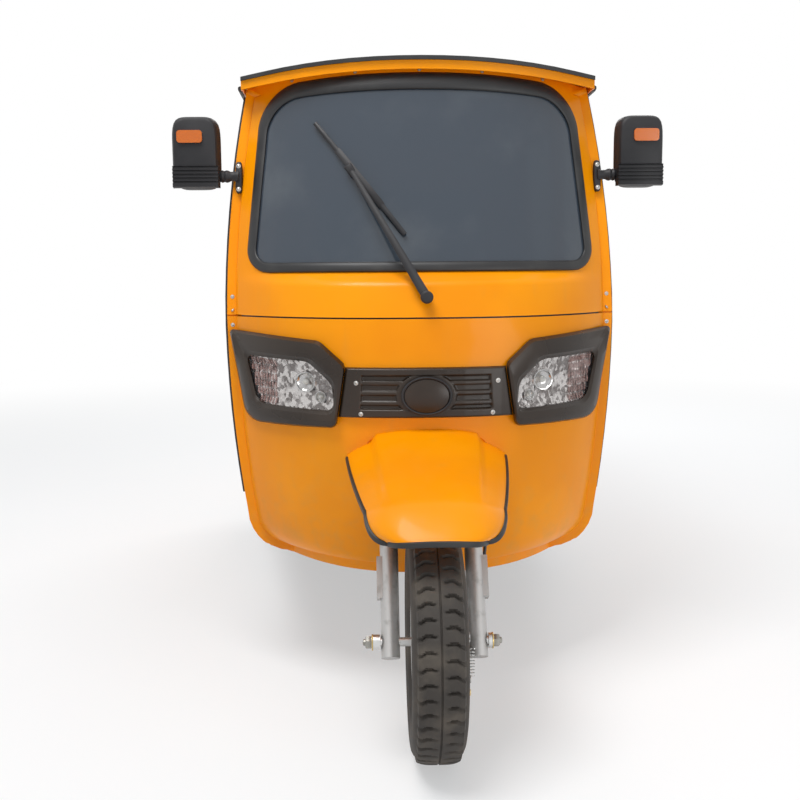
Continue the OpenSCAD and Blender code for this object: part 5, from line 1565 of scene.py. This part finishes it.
@dataclass
class Wiper:
    """Arm and blade: a tapered flat arm, a pivot cap, and a blade with yokes and a rubber edge."""

    pivot: Spot = (0.002, 1.019)
    elbow: Spot = (-0.179, 1.334)
    top: Spot = (-0.270, 1.458)
    foot: Spot = (-0.046, 1.172)
    pivot_lift: float = 0.026
    elbow_lift: float = 0.021
    blade_lift: float = 0.0065

    @staticmethod
    def on(spot: Spot, lift: float) -> Vector:
        """A point in front of the glass or the panel below it."""
        for node in ("windscreen", "screen_seal", "screen_surround"):
            try:
                return Shop.hit(node, *spot)[0] + FORWARD * lift
            except ValueError:
                continue
        raise ValueError("the wiper misses the cab front")

    @staticmethod
    def bar(w: float, h: float) -> list[Spot]:
        """A flat section with a chamfered top."""
        return [(-w, -h), (w, -h), (w, h * 0.4), (w * 0.5, h), (-w * 0.5, h), (-w, h * 0.4)]

    def build(self) -> None:
        """Makes the whole wiper as one piece."""
        pivot, elbow = self.on(self.pivot, self.pivot_lift), self.on(self.elbow, self.elbow_lift)
        arm_path = [pivot.lerp(elbow, k / 10) + FORWARD * (0.006 * math.sin(math.pi * k / 10)) for k in range(11)]
        arm = Forms.swept(arm_path, lambda k: self.bar(0.0112 - 0.0005 * k, 0.0048 - 0.00015 * k), FORWARD)
        blade_path = []
        for k in range(17):
            x, z = (a + (b - a) * k / 16 for a, b in zip(self.foot, self.top))
            blade_path.append(self.on((x, z), self.blade_lift))
        rubber = Forms.swept(blade_path, lambda _: self.bar(0.0024, 0.0042), FORWARD)
        spine_path = [p + FORWARD * self.blade_lift for p in blade_path]
        spine = Forms.swept(spine_path, lambda k: self.bar(0.0078 - 0.0003 * abs(k - 8), 0.0030), FORWARD)
        yoke_path = [p + FORWARD * (0.007 * math.sin(math.pi * k / 8)) for k, p in enumerate(spine_path[4:13])]
        yoke = Forms.swept(yoke_path, lambda _: self.bar(0.0088, 0.0026), FORWARD)
        cap = Forms.turned([(0, -0.029), (0.012, -0.029), (0.013, -0.004), (0.0155, 0.0), (0.0155, 0.006),
                            (0.012, 0.010), (0, 0.011)], 24)
        turn = facing(FORWARD).to_matrix().to_4x4()
        bmesh.ops.transform(cap, matrix=Matrix.Translation(pivot) @ turn, verts=cap.verts)
        clip = Forms.block((0.022, 0.034, 0.011), 0.002, 0.8)
        seat = Matrix.Translation(elbow + BACKWARD * 0.006) @ turn @ Matrix.Rotation(0.65, 4, "Z")
        bmesh.ops.transform(clip, matrix=seat, verts=clip.verts)
        Shop.add("wiper_set", Forms.joined([arm, rubber, spine, yoke, cap, clip]), PLASTIC, Body.CAB, "wiper")


@dataclass
class Pad:
    """One seat pad: a crowned closed form with sewn channels and piping."""

    node: str
    channels: int
    upright: bool
    crown: float = 0.020
    dip: float = 0.0065
    power: float = 7.0
    pull: float = 0.018

    def __post_init__(self) -> None:
        """Reads the pad's room from the frame."""
        low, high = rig.box(self.node)
        self.middle, self.half = (low + high) / 2, (high - low) / 2
        self.axes = (0, 2, 1) if self.upright else (0, 1, 2)
        self.sign = -1.0 if self.upright else 1.0

    def set(self, across: float, along: float, up: float) -> Vector:
        """A point from its distances across, along and above the pad's middle."""
        spot = Vector((0.0, 0.0, 0.0))
        for axis, value in zip(self.axes, (across, along, self.sign * up)):
            spot[axis] = value
        return self.middle + spot

    def skin(self, u: float, v: float, w: float) -> Vector:
        """Where a point of the plain block goes; the three numbers run from -1 to 1."""
        across, along, up = (self.half[axis] for axis in self.axes)
        size = (abs(u) ** self.power + abs(v) ** self.power) ** (1 / self.power)
        if size > 1e-6:
            ring = max(abs(u), abs(v))
            u, v = u * ring / size, v * ring / size
        pull_u, pull_v = self.pull * (1 - v * v) * abs(u) ** 6, self.pull * (1 - u * u) * abs(v) ** 6
        round_off = 1 - 0.10 * abs(w) ** 4
        rise = w
        if w > 0:
            rise = w * (1 - self.crown / up * (1 - (1 - u ** 4) * (1 - v ** 4)))
            wave = abs(math.sin(math.pi * self.channels * (u + 1) / 2))
            edge = max(0.0, 1 - abs(v) ** 10)
            rise -= w * self.dip / up * edge * (1 - min(1.0, wave * 2.2)) ** 2 * 1.6
        return self.set(u * (across - pull_u) * round_off, v * (along - pull_v) * round_off, rise * up)

    def build(self) -> None:
        """Makes the pad and its piping."""
        shape = bmesh.new()
        bmesh.ops.create_cube(shape, size=2.0)
        bmesh.ops.subdivide_edges(shape, edges=shape.edges[:], cuts=30, use_grid_fill=True)
        for vert in shape.verts:
            vert.co = self.skin(*vert.co)
        pad = Shop.add(self.node + "_pad", Forms.outward(shape), VINYL, Body.CAB, self.node, smooth=60.0)
        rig.padded(pad, fill=0.7)
        across, along, up = (self.half[axis] for axis in self.axes)
        path = []
        for u, v in Forms.oval((1.0, 1.0), self.power, 120, 0.0):
            path.append(self.set(u * (across - self.pull * (1 - v * v)) * 0.955,
                                 v * (along - self.pull * (1 - u * u)) * 0.955, up * 0.80 - self.crown * 0.6))
        normal = Vector((0, 0, 0))
        normal[self.axes[2]] = self.sign
        Shop.add(self.node + "_piping", Forms.swept(path, Forms.round_wire(0.0042), normal, True), VINYL, Body.CAB)


@dataclass
class RearDress:
    """Trim of the body's sides and tail."""

    scatter: Scatter
    strip_z: float = 0.776
    lamp_half: float = 0.042
    rivet_z: tuple[float, ...] = (0.40, 0.52, 0.64, 1.06, 1.18, 1.30)
    rivet_rows: Spot = (1.50, 0.42)
    reflector: Spot = (0.40, 0.376)
    pull_z: float = 0.516

    def build(self) -> None:
        """Makes the rub strips, the tail lamps' frames, the tail's trim and the roof's gutters."""
        self.strips()
        self.tail()
        self.window()
        self.rivets()
        self.bumper()
        self.roof()

    def strips(self) -> None:
        """Ribbed rub strips along the rear quarters, with screws."""
        low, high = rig.box("side_panel_right")
        x, y0, y1, z = high.x, low.y + 0.085, high.y - 0.03, self.strip_z
        section = [(-0.018, 0.0), (0.018, 0.0), (0.017, 0.006), (0.008, 0.0085), (0.004, 0.006), (-0.004, 0.006),
                   (-0.008, 0.0085), (-0.017, 0.006)]
        screws = []
        for side in (1, -1):
            out = Vector((side, 0, 0))
            path = [Vector((side * x, y0 + (y1 - y0) * k / 12, z)) for k in range(13)]
            Shop.add("rub_strip_" + SIDE_NAMES[side], Forms.swept(path, lambda _: section, out), SEAL, Body.CAB)
            for k in range(5):
                spot = Vector((side * (x + 0.006), y0 + 0.04 + (y1 - y0 - 0.08) * k / 4, z))
                screws.append((spot, facing(out)))
        self.scatter.spread("rub_strip_screws", Forms.screw(0.0045), screws, FASTENER)

    def tail(self) -> None:
        """A black frame round each tail lamp and moulded ribs over its lens."""
        low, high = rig.box("tail_lamps")
        half_h, middle_z, y = (high.z - low.z) / 2, (low.z + high.z) / 2, high.y
        section = [(-0.004, -0.012), (0.004, -0.012), (0.0045, 0.010), (0.0, 0.014), (-0.0045, 0.010)]
        ribs = []
        for side in (-1, 1):
            x = side * (high.x - self.lamp_half)
            oval = Forms.oval((self.lamp_half + 0.003, half_h + 0.003), 6.0, 48, 0.0)
            path = [Vector((x + a, y - 0.013, middle_z + b)) for a, b in oval]
            ring = Forms.swept(path, lambda _: section, BACKWARD, True)
            Shop.add("tail_lamp_frame_" + SIDE_NAMES[side], ring, PLASTIC, Body.CAB)
            for k in range(19):
                ribs.append((Vector((x, y - 0.001, middle_z - half_h + 0.021 + 0.011 * k)), facing(BACKWARD)))
        self.scatter.spread("tail_lens_ribs", Forms.block((0.068, 0.0065, 0.004), 0.0012, 0.7), ribs, RED)

    def window(self) -> None:
        """The rubber round the rear window."""
        low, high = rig.box("rear_window")
        half_w, half_h, middle = (high.x - low.x) / 2, (high.z - low.z) / 2, (high.z + low.z) / 2
        face = Shop.hit("rear_panel", 0.0, high.z + 0.05, True)[0].y
        path = [Vector((a, face, middle + b)) for a, b in Forms.oval((half_w + 0.004, half_h + 0.004), 8.0, 96)]
        section = [(-0.012, -0.001), (0.012, -0.001), (0.0125, 0.003), (0.008, 0.0065), (0.002, 0.0068), (0.0, 0.005),
                   (-0.002, 0.0068), (-0.008, 0.0065), (-0.0125, 0.003)]
        Shop.add("rear_window_rubber", Forms.swept(path, lambda _: section, BACKWARD, True), SEAL, Body.CAB)

    def rivets(self) -> None:
        """Painted rivets up both sides of the rear panel and along its top and bottom."""
        spots = [(side * (0.515 - 0.075 * max(0.0, z - 0.85)), z) for side in (-1, 1) for z in self.rivet_z]
        spots += [(-0.42 + 0.12 * k, z) for z in self.rivet_rows for k in range(8)]
        places = []
        for x, z in spots:
            point, normal = Shop.hit("rear_panel", x, z, True)
            places.append((point, facing(normal)))
        dome = Forms.turned([(0, -0.001), (0.006, -0.001), (0.0056, 0.0010), (0.004, 0.0023), (0.0018, 0.0030),
                             (0, 0.0031)], 14)
        self.scatter.spread("rear_rivets", dome, places, ORANGE)

    def bumper(self) -> None:
        """The bumper's reflectors and the lid's pull."""
        end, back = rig.box("rear_bumper")[1].y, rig.box("rear_panel")[1].y
        lens = Forms.turned([(0, 0), (0.030, 0), (0.030, 0.006), (0.0265, 0.0085), (0.0258, 0.0068), (0.012, 0.0078),
                             (0, 0.008)], 32)
        x, z = self.reflector
        spots = [(Vector((side * x, end - 0.0005, z)), facing(BACKWARD)) for side in (-1, 1)]
        self.scatter.spread("bumper_reflectors", lens, spots, RED)
        pull = [Vector((-0.075 + 0.15 * k / 14, back + 0.0135 + 0.006 * math.sin(math.pi * k / 14), self.pull_z))
                for k in range(15)]
        grip = Forms.swept(pull, lambda _: Forms.oval((0.0125, 0.0062), 3.0, 16), BACKWARD)
        Shop.add("lid_pull", grip, PLASTIC, Body.LID)

    @staticmethod
    def eave(side: int, y: float) -> Vector:
        """The outermost point of the roof's underside at a place along the cart."""
        x = 0.60
        while x > 0.40:
            try:
                return Shop.cast("roof_panel", Vector((side * x, y, 1.0)), UP)[0]
            except ValueError:
                x -= 0.002
        raise ValueError("the gutter misses the roof")

    def roof(self) -> None:
        """Makes a rubber gutter along each side of the roof."""
        low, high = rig.box("roof_panel")
        section = [(-0.005, -0.008), (0.003, -0.008), (0.006, -0.002), (0.006, 0.004), (0.002, 0.007), (-0.005, 0.007)]
        for side in (-1, 1):
            path = []
            for k in range(41):
                y = low.y + 0.14 + (high.y - low.y - 0.16) * k / 40
                path.append(self.eave(side, y) + Vector((side * 0.004, 0, 0.006)))
            gutter = Forms.swept(path, lambda _: [(side * a, b) for a, b in section], UP)
            Shop.add("roof_gutter_" + SIDE_NAMES[side], gutter, SEAL, Body.CAB)


@dataclass
class Cockpit:
    """What the driver handles and reads: grips, levers, dials and warning lights."""

    scatter: Scatter
    axis: Spot = (-1.052735, 0.234)
    rake: float = math.radians(30.0)
    bar: tuple[Place, ...] = ((0.060, 0.0, 0.848), (0.140, 0.026, 0.884), (0.200, 0.076, 0.916),
                              (0.236, 0.114, 0.922), (0.270, 0.150, 0.924))
    perch: tuple[Place, ...] = ((0.153, 0.037, 0.890), (0.156, 0.056, 0.880), (0.160, 0.076, 0.870))
    lever_root: Place = (0.158, 0.072, 0.872)
    lever_run: Place = (0.100, 0.094, 0.020)
    lever_up: Vector = field(default_factory=lambda: Vector((0, -0.5, 0.866)))
    dial_x: tuple[float, ...] = (-0.042, 0.042)
    dial_z: float = 1.064
    light_x: tuple[float, ...] = (-0.096, -0.080, 0.080, 0.096)
    light_z: float = 1.066
    ticks: int = 13

    def at(self, x: float, y: float, z: float) -> Vector:
        """A point of the steering's own frame in the shared one."""
        c, s = math.cos(self.rake), math.sin(self.rake)
        return Vector((x, self.axis[0] + y * c + z * s, self.axis[1] - y * s + z * c))

    def grips(self) -> None:
        """Ribbed grips with flanges on both ends of the bar, and the switch boxes inside them."""
        ribs, boxes = [], []
        for side in (-1, 1):
            line = [self.at(side * x, y, z) for x, y, z in self.bar]
            for first, last in zip(line[2:], line[3:]):
                way = (last - first).normalized()
                ribs += [(first.lerp(last, (k + 0.5) / 5), facing(way)) for k in range(5)]
            way = (line[2] - line[1]).normalized()
            boxes.append((line[2] - way * 0.020, facing(way)))
        ring = Forms.turned([(0.0172, -0.0028), (0.0188, -0.0022), (0.0196, 0.0), (0.0188, 0.0022), (0.0172, 0.0028),
                             (0.0165, 0.0), (0.0172, -0.0028)], 24)
        self.scatter.spread("grip_ribs", ring, ribs, SEAL, Body.STEERING)
        box = Forms.turned([(0.0115, -0.018), (0.020, -0.017), (0.0225, -0.012), (0.0225, 0.010), (0.026, 0.012),
                            (0.026, 0.016), (0.0175, 0.018)], 20)
        self.scatter.spread("switch_boxes", box, boxes, PLASTIC, Body.STEERING)

    def levers(self) -> None:
        """A curved lever behind and below each grip, on its perch."""
        (x0, y0, z0), (dx, dy, dz) = self.lever_root, self.lever_run
        parts = []
        for side in (-1, 1):
            path = []
            for t in (k / 14 for k in range(15)):
                path.append(self.at(side * (x0 + dx * t), y0 + dy * t - 0.006 * math.sin(math.pi * t), z0 + dz * t))
            parts.append(Forms.swept(path, lambda k: Forms.oval((0.0062 - 0.0001 * k, 0.0042), 3.0, 12), self.lever_up))
            perch = [self.at(side * x, y, z) for x, y, z in self.perch]
            parts.append(Forms.swept(perch, lambda _: Forms.oval((0.010, 0.009), 3.0, 12), self.lever_up))
        Shop.add("brake_levers", Forms.joined(parts), ALLOY, Body.STEERING)

    def dials(self) -> None:
        """Two dials with ticks and needles, and a row of warning lights, on the pod's sloping face."""
        rims, faces, ticks, needles, lights = [], [], [], [], []
        for x in self.dial_x:
            spot, way = Shop.hit("dashboard", x, self.dial_z, True)
            rims.append((spot, facing(way)))
            faces.append((spot + way * 0.0012, facing(way)))
            pose = way.to_track_quat("Z", "Y")
            for k in range(self.ticks):
                a = math.radians(-40 + 260 * k / (self.ticks - 1))
                off = pose @ Vector((0.0128 * math.cos(a), 0.0128 * math.sin(a), 0.0016))
                ticks.append((spot + off, (pose @ Euler((0, 0, a)).to_quaternion()).to_euler()))
            swing = Euler((0, 0, math.radians(-28))).to_quaternion()
            needles.append((spot + way * 0.0022, (pose @ swing).to_euler()))
        for x in self.light_x:
            spot, way = Shop.hit("dashboard", x, self.light_z, True)
            lights.append((spot, facing(way)))
        rim = Forms.turned([(0.0155, 0.0), (0.0185, 0.0), (0.0185, 0.0030), (0.0170, 0.0042), (0.0155, 0.0030),
                            (0.0155, 0.0)], 36)
        face = Forms.turned([(0, -0.001), (0.0157, -0.001), (0.0157, 0.0003), (0, 0.0003)], 32)
        lamp = Forms.turned([(0, -0.001), (0.0045, -0.001), (0.0045, 0.0012), (0.003, 0.0026), (0, 0.0031)], 16)
        self.scatter.spread("dial_rims", rim, rims, STEEL)
        self.scatter.spread("dial_faces", face, faces, MASK)
        self.scatter.spread("dial_ticks", Forms.block((0.0032, 0.0007, 0.0004)), ticks, WHITE)
        self.scatter.spread("dial_needles", Forms.block((0.021, 0.0012, 0.0006), 0.0, 0.7), needles, AMBER)
        self.scatter.spread("warning_lights", lamp, lights, RED)

    def build(self) -> None:
        """Makes all of them."""
        self.grips()
        self.levers()
        self.dials()


@dataclass
class FloorMat:
    """Ribbed rubber matting on the driver's and passengers' floor."""

    scatter: Scatter
    middles: tuple[float, ...] = (-0.32, 0.35)
    size: Place = (0.78, 0.235, 0.0025)
    rib: Place = (0.012, 0.20, 0.0035)
    rib_pitch: float = 0.03
    ribs: int = 25

    def build(self) -> None:
        """Lays the ribs and the mats under them."""
        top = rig.box("floor_pan")[1].z
        flat = Euler((0, 0, 0))
        first = -self.rib_pitch * (self.ribs - 1) / 2
        ribs = [(Vector((first + self.rib_pitch * k, y, top + 0.0022)), flat)
                for y in self.middles for k in range(self.ribs)]
        self.scatter.spread("mat_ribs", Forms.block(self.rib, 0.001, 0.7), ribs, SEAL)
        mats = [(Vector((0, y, top)), flat) for y in self.middles]
        self.scatter.spread("floor_mats", Forms.block(self.size, 0.0008), mats, SEAL)


@dataclass
class Lamp:
    """One square studio lamp."""

    name: str
    place: Place
    aim: Place
    size: float
    power: float

    def hang(self) -> None:
        """Hangs the lamp and points it at its aim."""
        data = bpy.data.lights.new(self.name, "AREA")
        data.size = self.size
        data.energy = self.power
        made = bpy.data.objects.new(self.name, data)
        made.location = self.place
        made.rotation_euler = (Vector(self.aim) - Vector(self.place)).to_track_quat("-Z", "Y").to_euler()
        bpy.context.scene.collection.objects.link(made)


@dataclass
class Studio:
    """Floor, world, lamps and the camera."""

    eye: Place = (-0.1357, -3.2949, 1.0887)
    yaw: float = 0.0288
    pitch: float = 0.1282
    roll: float = -0.008
    focal: float = 1022.7
    photo_width: float = 800.0
    sensor: float = 36.0
    dome: Colour = (0.90, 0.95, 1.0)
    dome_strength: float = 0.42
    lamps: tuple[Lamp, ...] = (
        Lamp("key", (-1.1, -2.1, 4.9), (0.0, -0.9, 0.8), 2.2, 165.0),
        Lamp("fill", (3.2, -5.4, 0.9), (0.0, -0.8, 0.7), 2.6, 70.0),
        Lamp("back", (1.5, 5.0, 4.5), (0.0, 0.8, 0.9), 3.0, 150.0),
    )

    def camera(self) -> None:
        """Sets the camera at the photograph's place."""
        ahead = Vector((math.sin(self.yaw), math.cos(self.yaw), 0.0))
        right = Vector((math.cos(self.yaw), -math.sin(self.yaw), 0.0))
        look = ahead * math.cos(self.pitch) - UP * math.sin(self.pitch)
        up = right.cross(look)
        side = right * math.cos(self.roll) + up * math.sin(self.roll)
        rise = side.cross(look)
        data = bpy.data.cameras.new("camera")
        data.sensor_width = self.sensor
        data.lens = self.focal / self.photo_width * self.sensor
        made = bpy.data.objects.new("camera", data)
        turn = Matrix((side, rise, -look)).transposed().to_4x4()
        made.matrix_world = Matrix.Translation(self.eye) @ turn
        bpy.context.scene.collection.objects.link(made)
        bpy.context.scene.camera = made

    def ground(self) -> None:
        """A wide pale floor that keeps the cart's shadow."""
        shape = bmesh.new()
        bmesh.ops.create_grid(shape, x_segments=1, y_segments=1, size=60.0)
        paint = bpy.data.materials.new("studio_floor")
        s = Sheet.of(paint)
        far = s.node("ShaderNodeVectorMath", {"operation": "LENGTH"}, {0: s.place()}, "Value")
        tone = s.mix(s.noise(1.4, 3.0), (0.93, 0.93, 0.93), (0.96, 0.96, 0.96))
        plain = s.node("ShaderNodeBsdfDiffuse", None, {"Color": tone})
        white = s.node("ShaderNodeEmission", None, {"Color": (1.0, 1.0, 1.0), "Strength": 1.0})
        share = s.seen() * (0.46 + s.within(far, 2.4, 7.5) * 0.54)
        mixed = s.node("ShaderNodeMixShader", None, {0: share, 1: plain, 2: white})
        s.node("ShaderNodeOutputMaterial", None, {"Surface": mixed})
        mesh = bpy.data.meshes.new("floor")
        shape.to_mesh(mesh)
        shape.free()
        floor = bpy.data.objects.new("floor", mesh)
        floor.data.materials.append(paint)
        bpy.context.scene.collection.objects.link(floor)
        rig.stage(floor)

    def world(self) -> None:
        """White to the camera, to gloss and through glass, and a soft grey dome for the rest."""
        made = bpy.data.worlds.new("studio")
        bpy.context.scene.world = made
        s = Sheet.of(made)
        white = s.node("ShaderNodeBackground", None, {"Color": (1.0, 1.0, 1.0), "Strength": 1.0})
        dome = s.node("ShaderNodeBackground", None, {"Color": self.dome, "Strength": self.dome_strength})
        mixed = s.node("ShaderNodeMixShader", None, {0: s.seen(), 1: dome, 2: white})
        s.node("ShaderNodeOutputWorld", None, {"Surface": mixed})

    def build(self) -> None:
        """Sets up the whole studio."""
        bpy.context.scene.view_settings.view_transform = "Standard"
        self.camera()
        self.ground()
        self.world()
        for lamp in self.lamps:
            lamp.hang()


def main() -> None:
    """Builds the studio and every piece in order."""
    logging.basicConfig(level=logging.INFO, format="%(name)s: %(message)s")
    Studio().build()
    PlainNodes().dress()
    CabSkin().build()
    front = Surround()
    front.build()
    scatter = Scatter()
    Fasteners(scatter, front).build()
    Lamps(scatter).build()
    Badge().build()
    Fender().build()
    SeamShade().build()
    Mirrors(scatter).build()
    x, y, z = REAR_AXLE
    Wheel(scatter, "front", "front_tyre", Body.FRONT_WHEEL, FRONT_AXLE, -1).build()
    Wheel(scatter, "rear_left", "rear_tyre_left", Body.LEFT_WHEEL, (-x, y, z), -1).build()
    Wheel(scatter, "rear_right", "rear_tyre_right", Body.RIGHT_WHEEL, (x, y, z), 1).build()
    FrontAxle(scatter).build()
    Wiper().build()
    Pad("driver_cushion", 5, False).build()
    Pad("driver_back", 5, True, 0.014).build()
    Pad("bench_cushion", 10, False).build()
    Pad("bench_back", 10, True, 0.016).build()
    RearDress(scatter).build()
    Cockpit(scatter).build()
    FloorMat(scatter).build()
    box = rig.bounds()
    sizes = {"cad": [list(c) for c in CAD_BOX], "visual": [list(c) for c in box]}
    with open("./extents.json", "w") as out:
        json.dump(sizes, out)


if __name__ == "__main__":
    main()
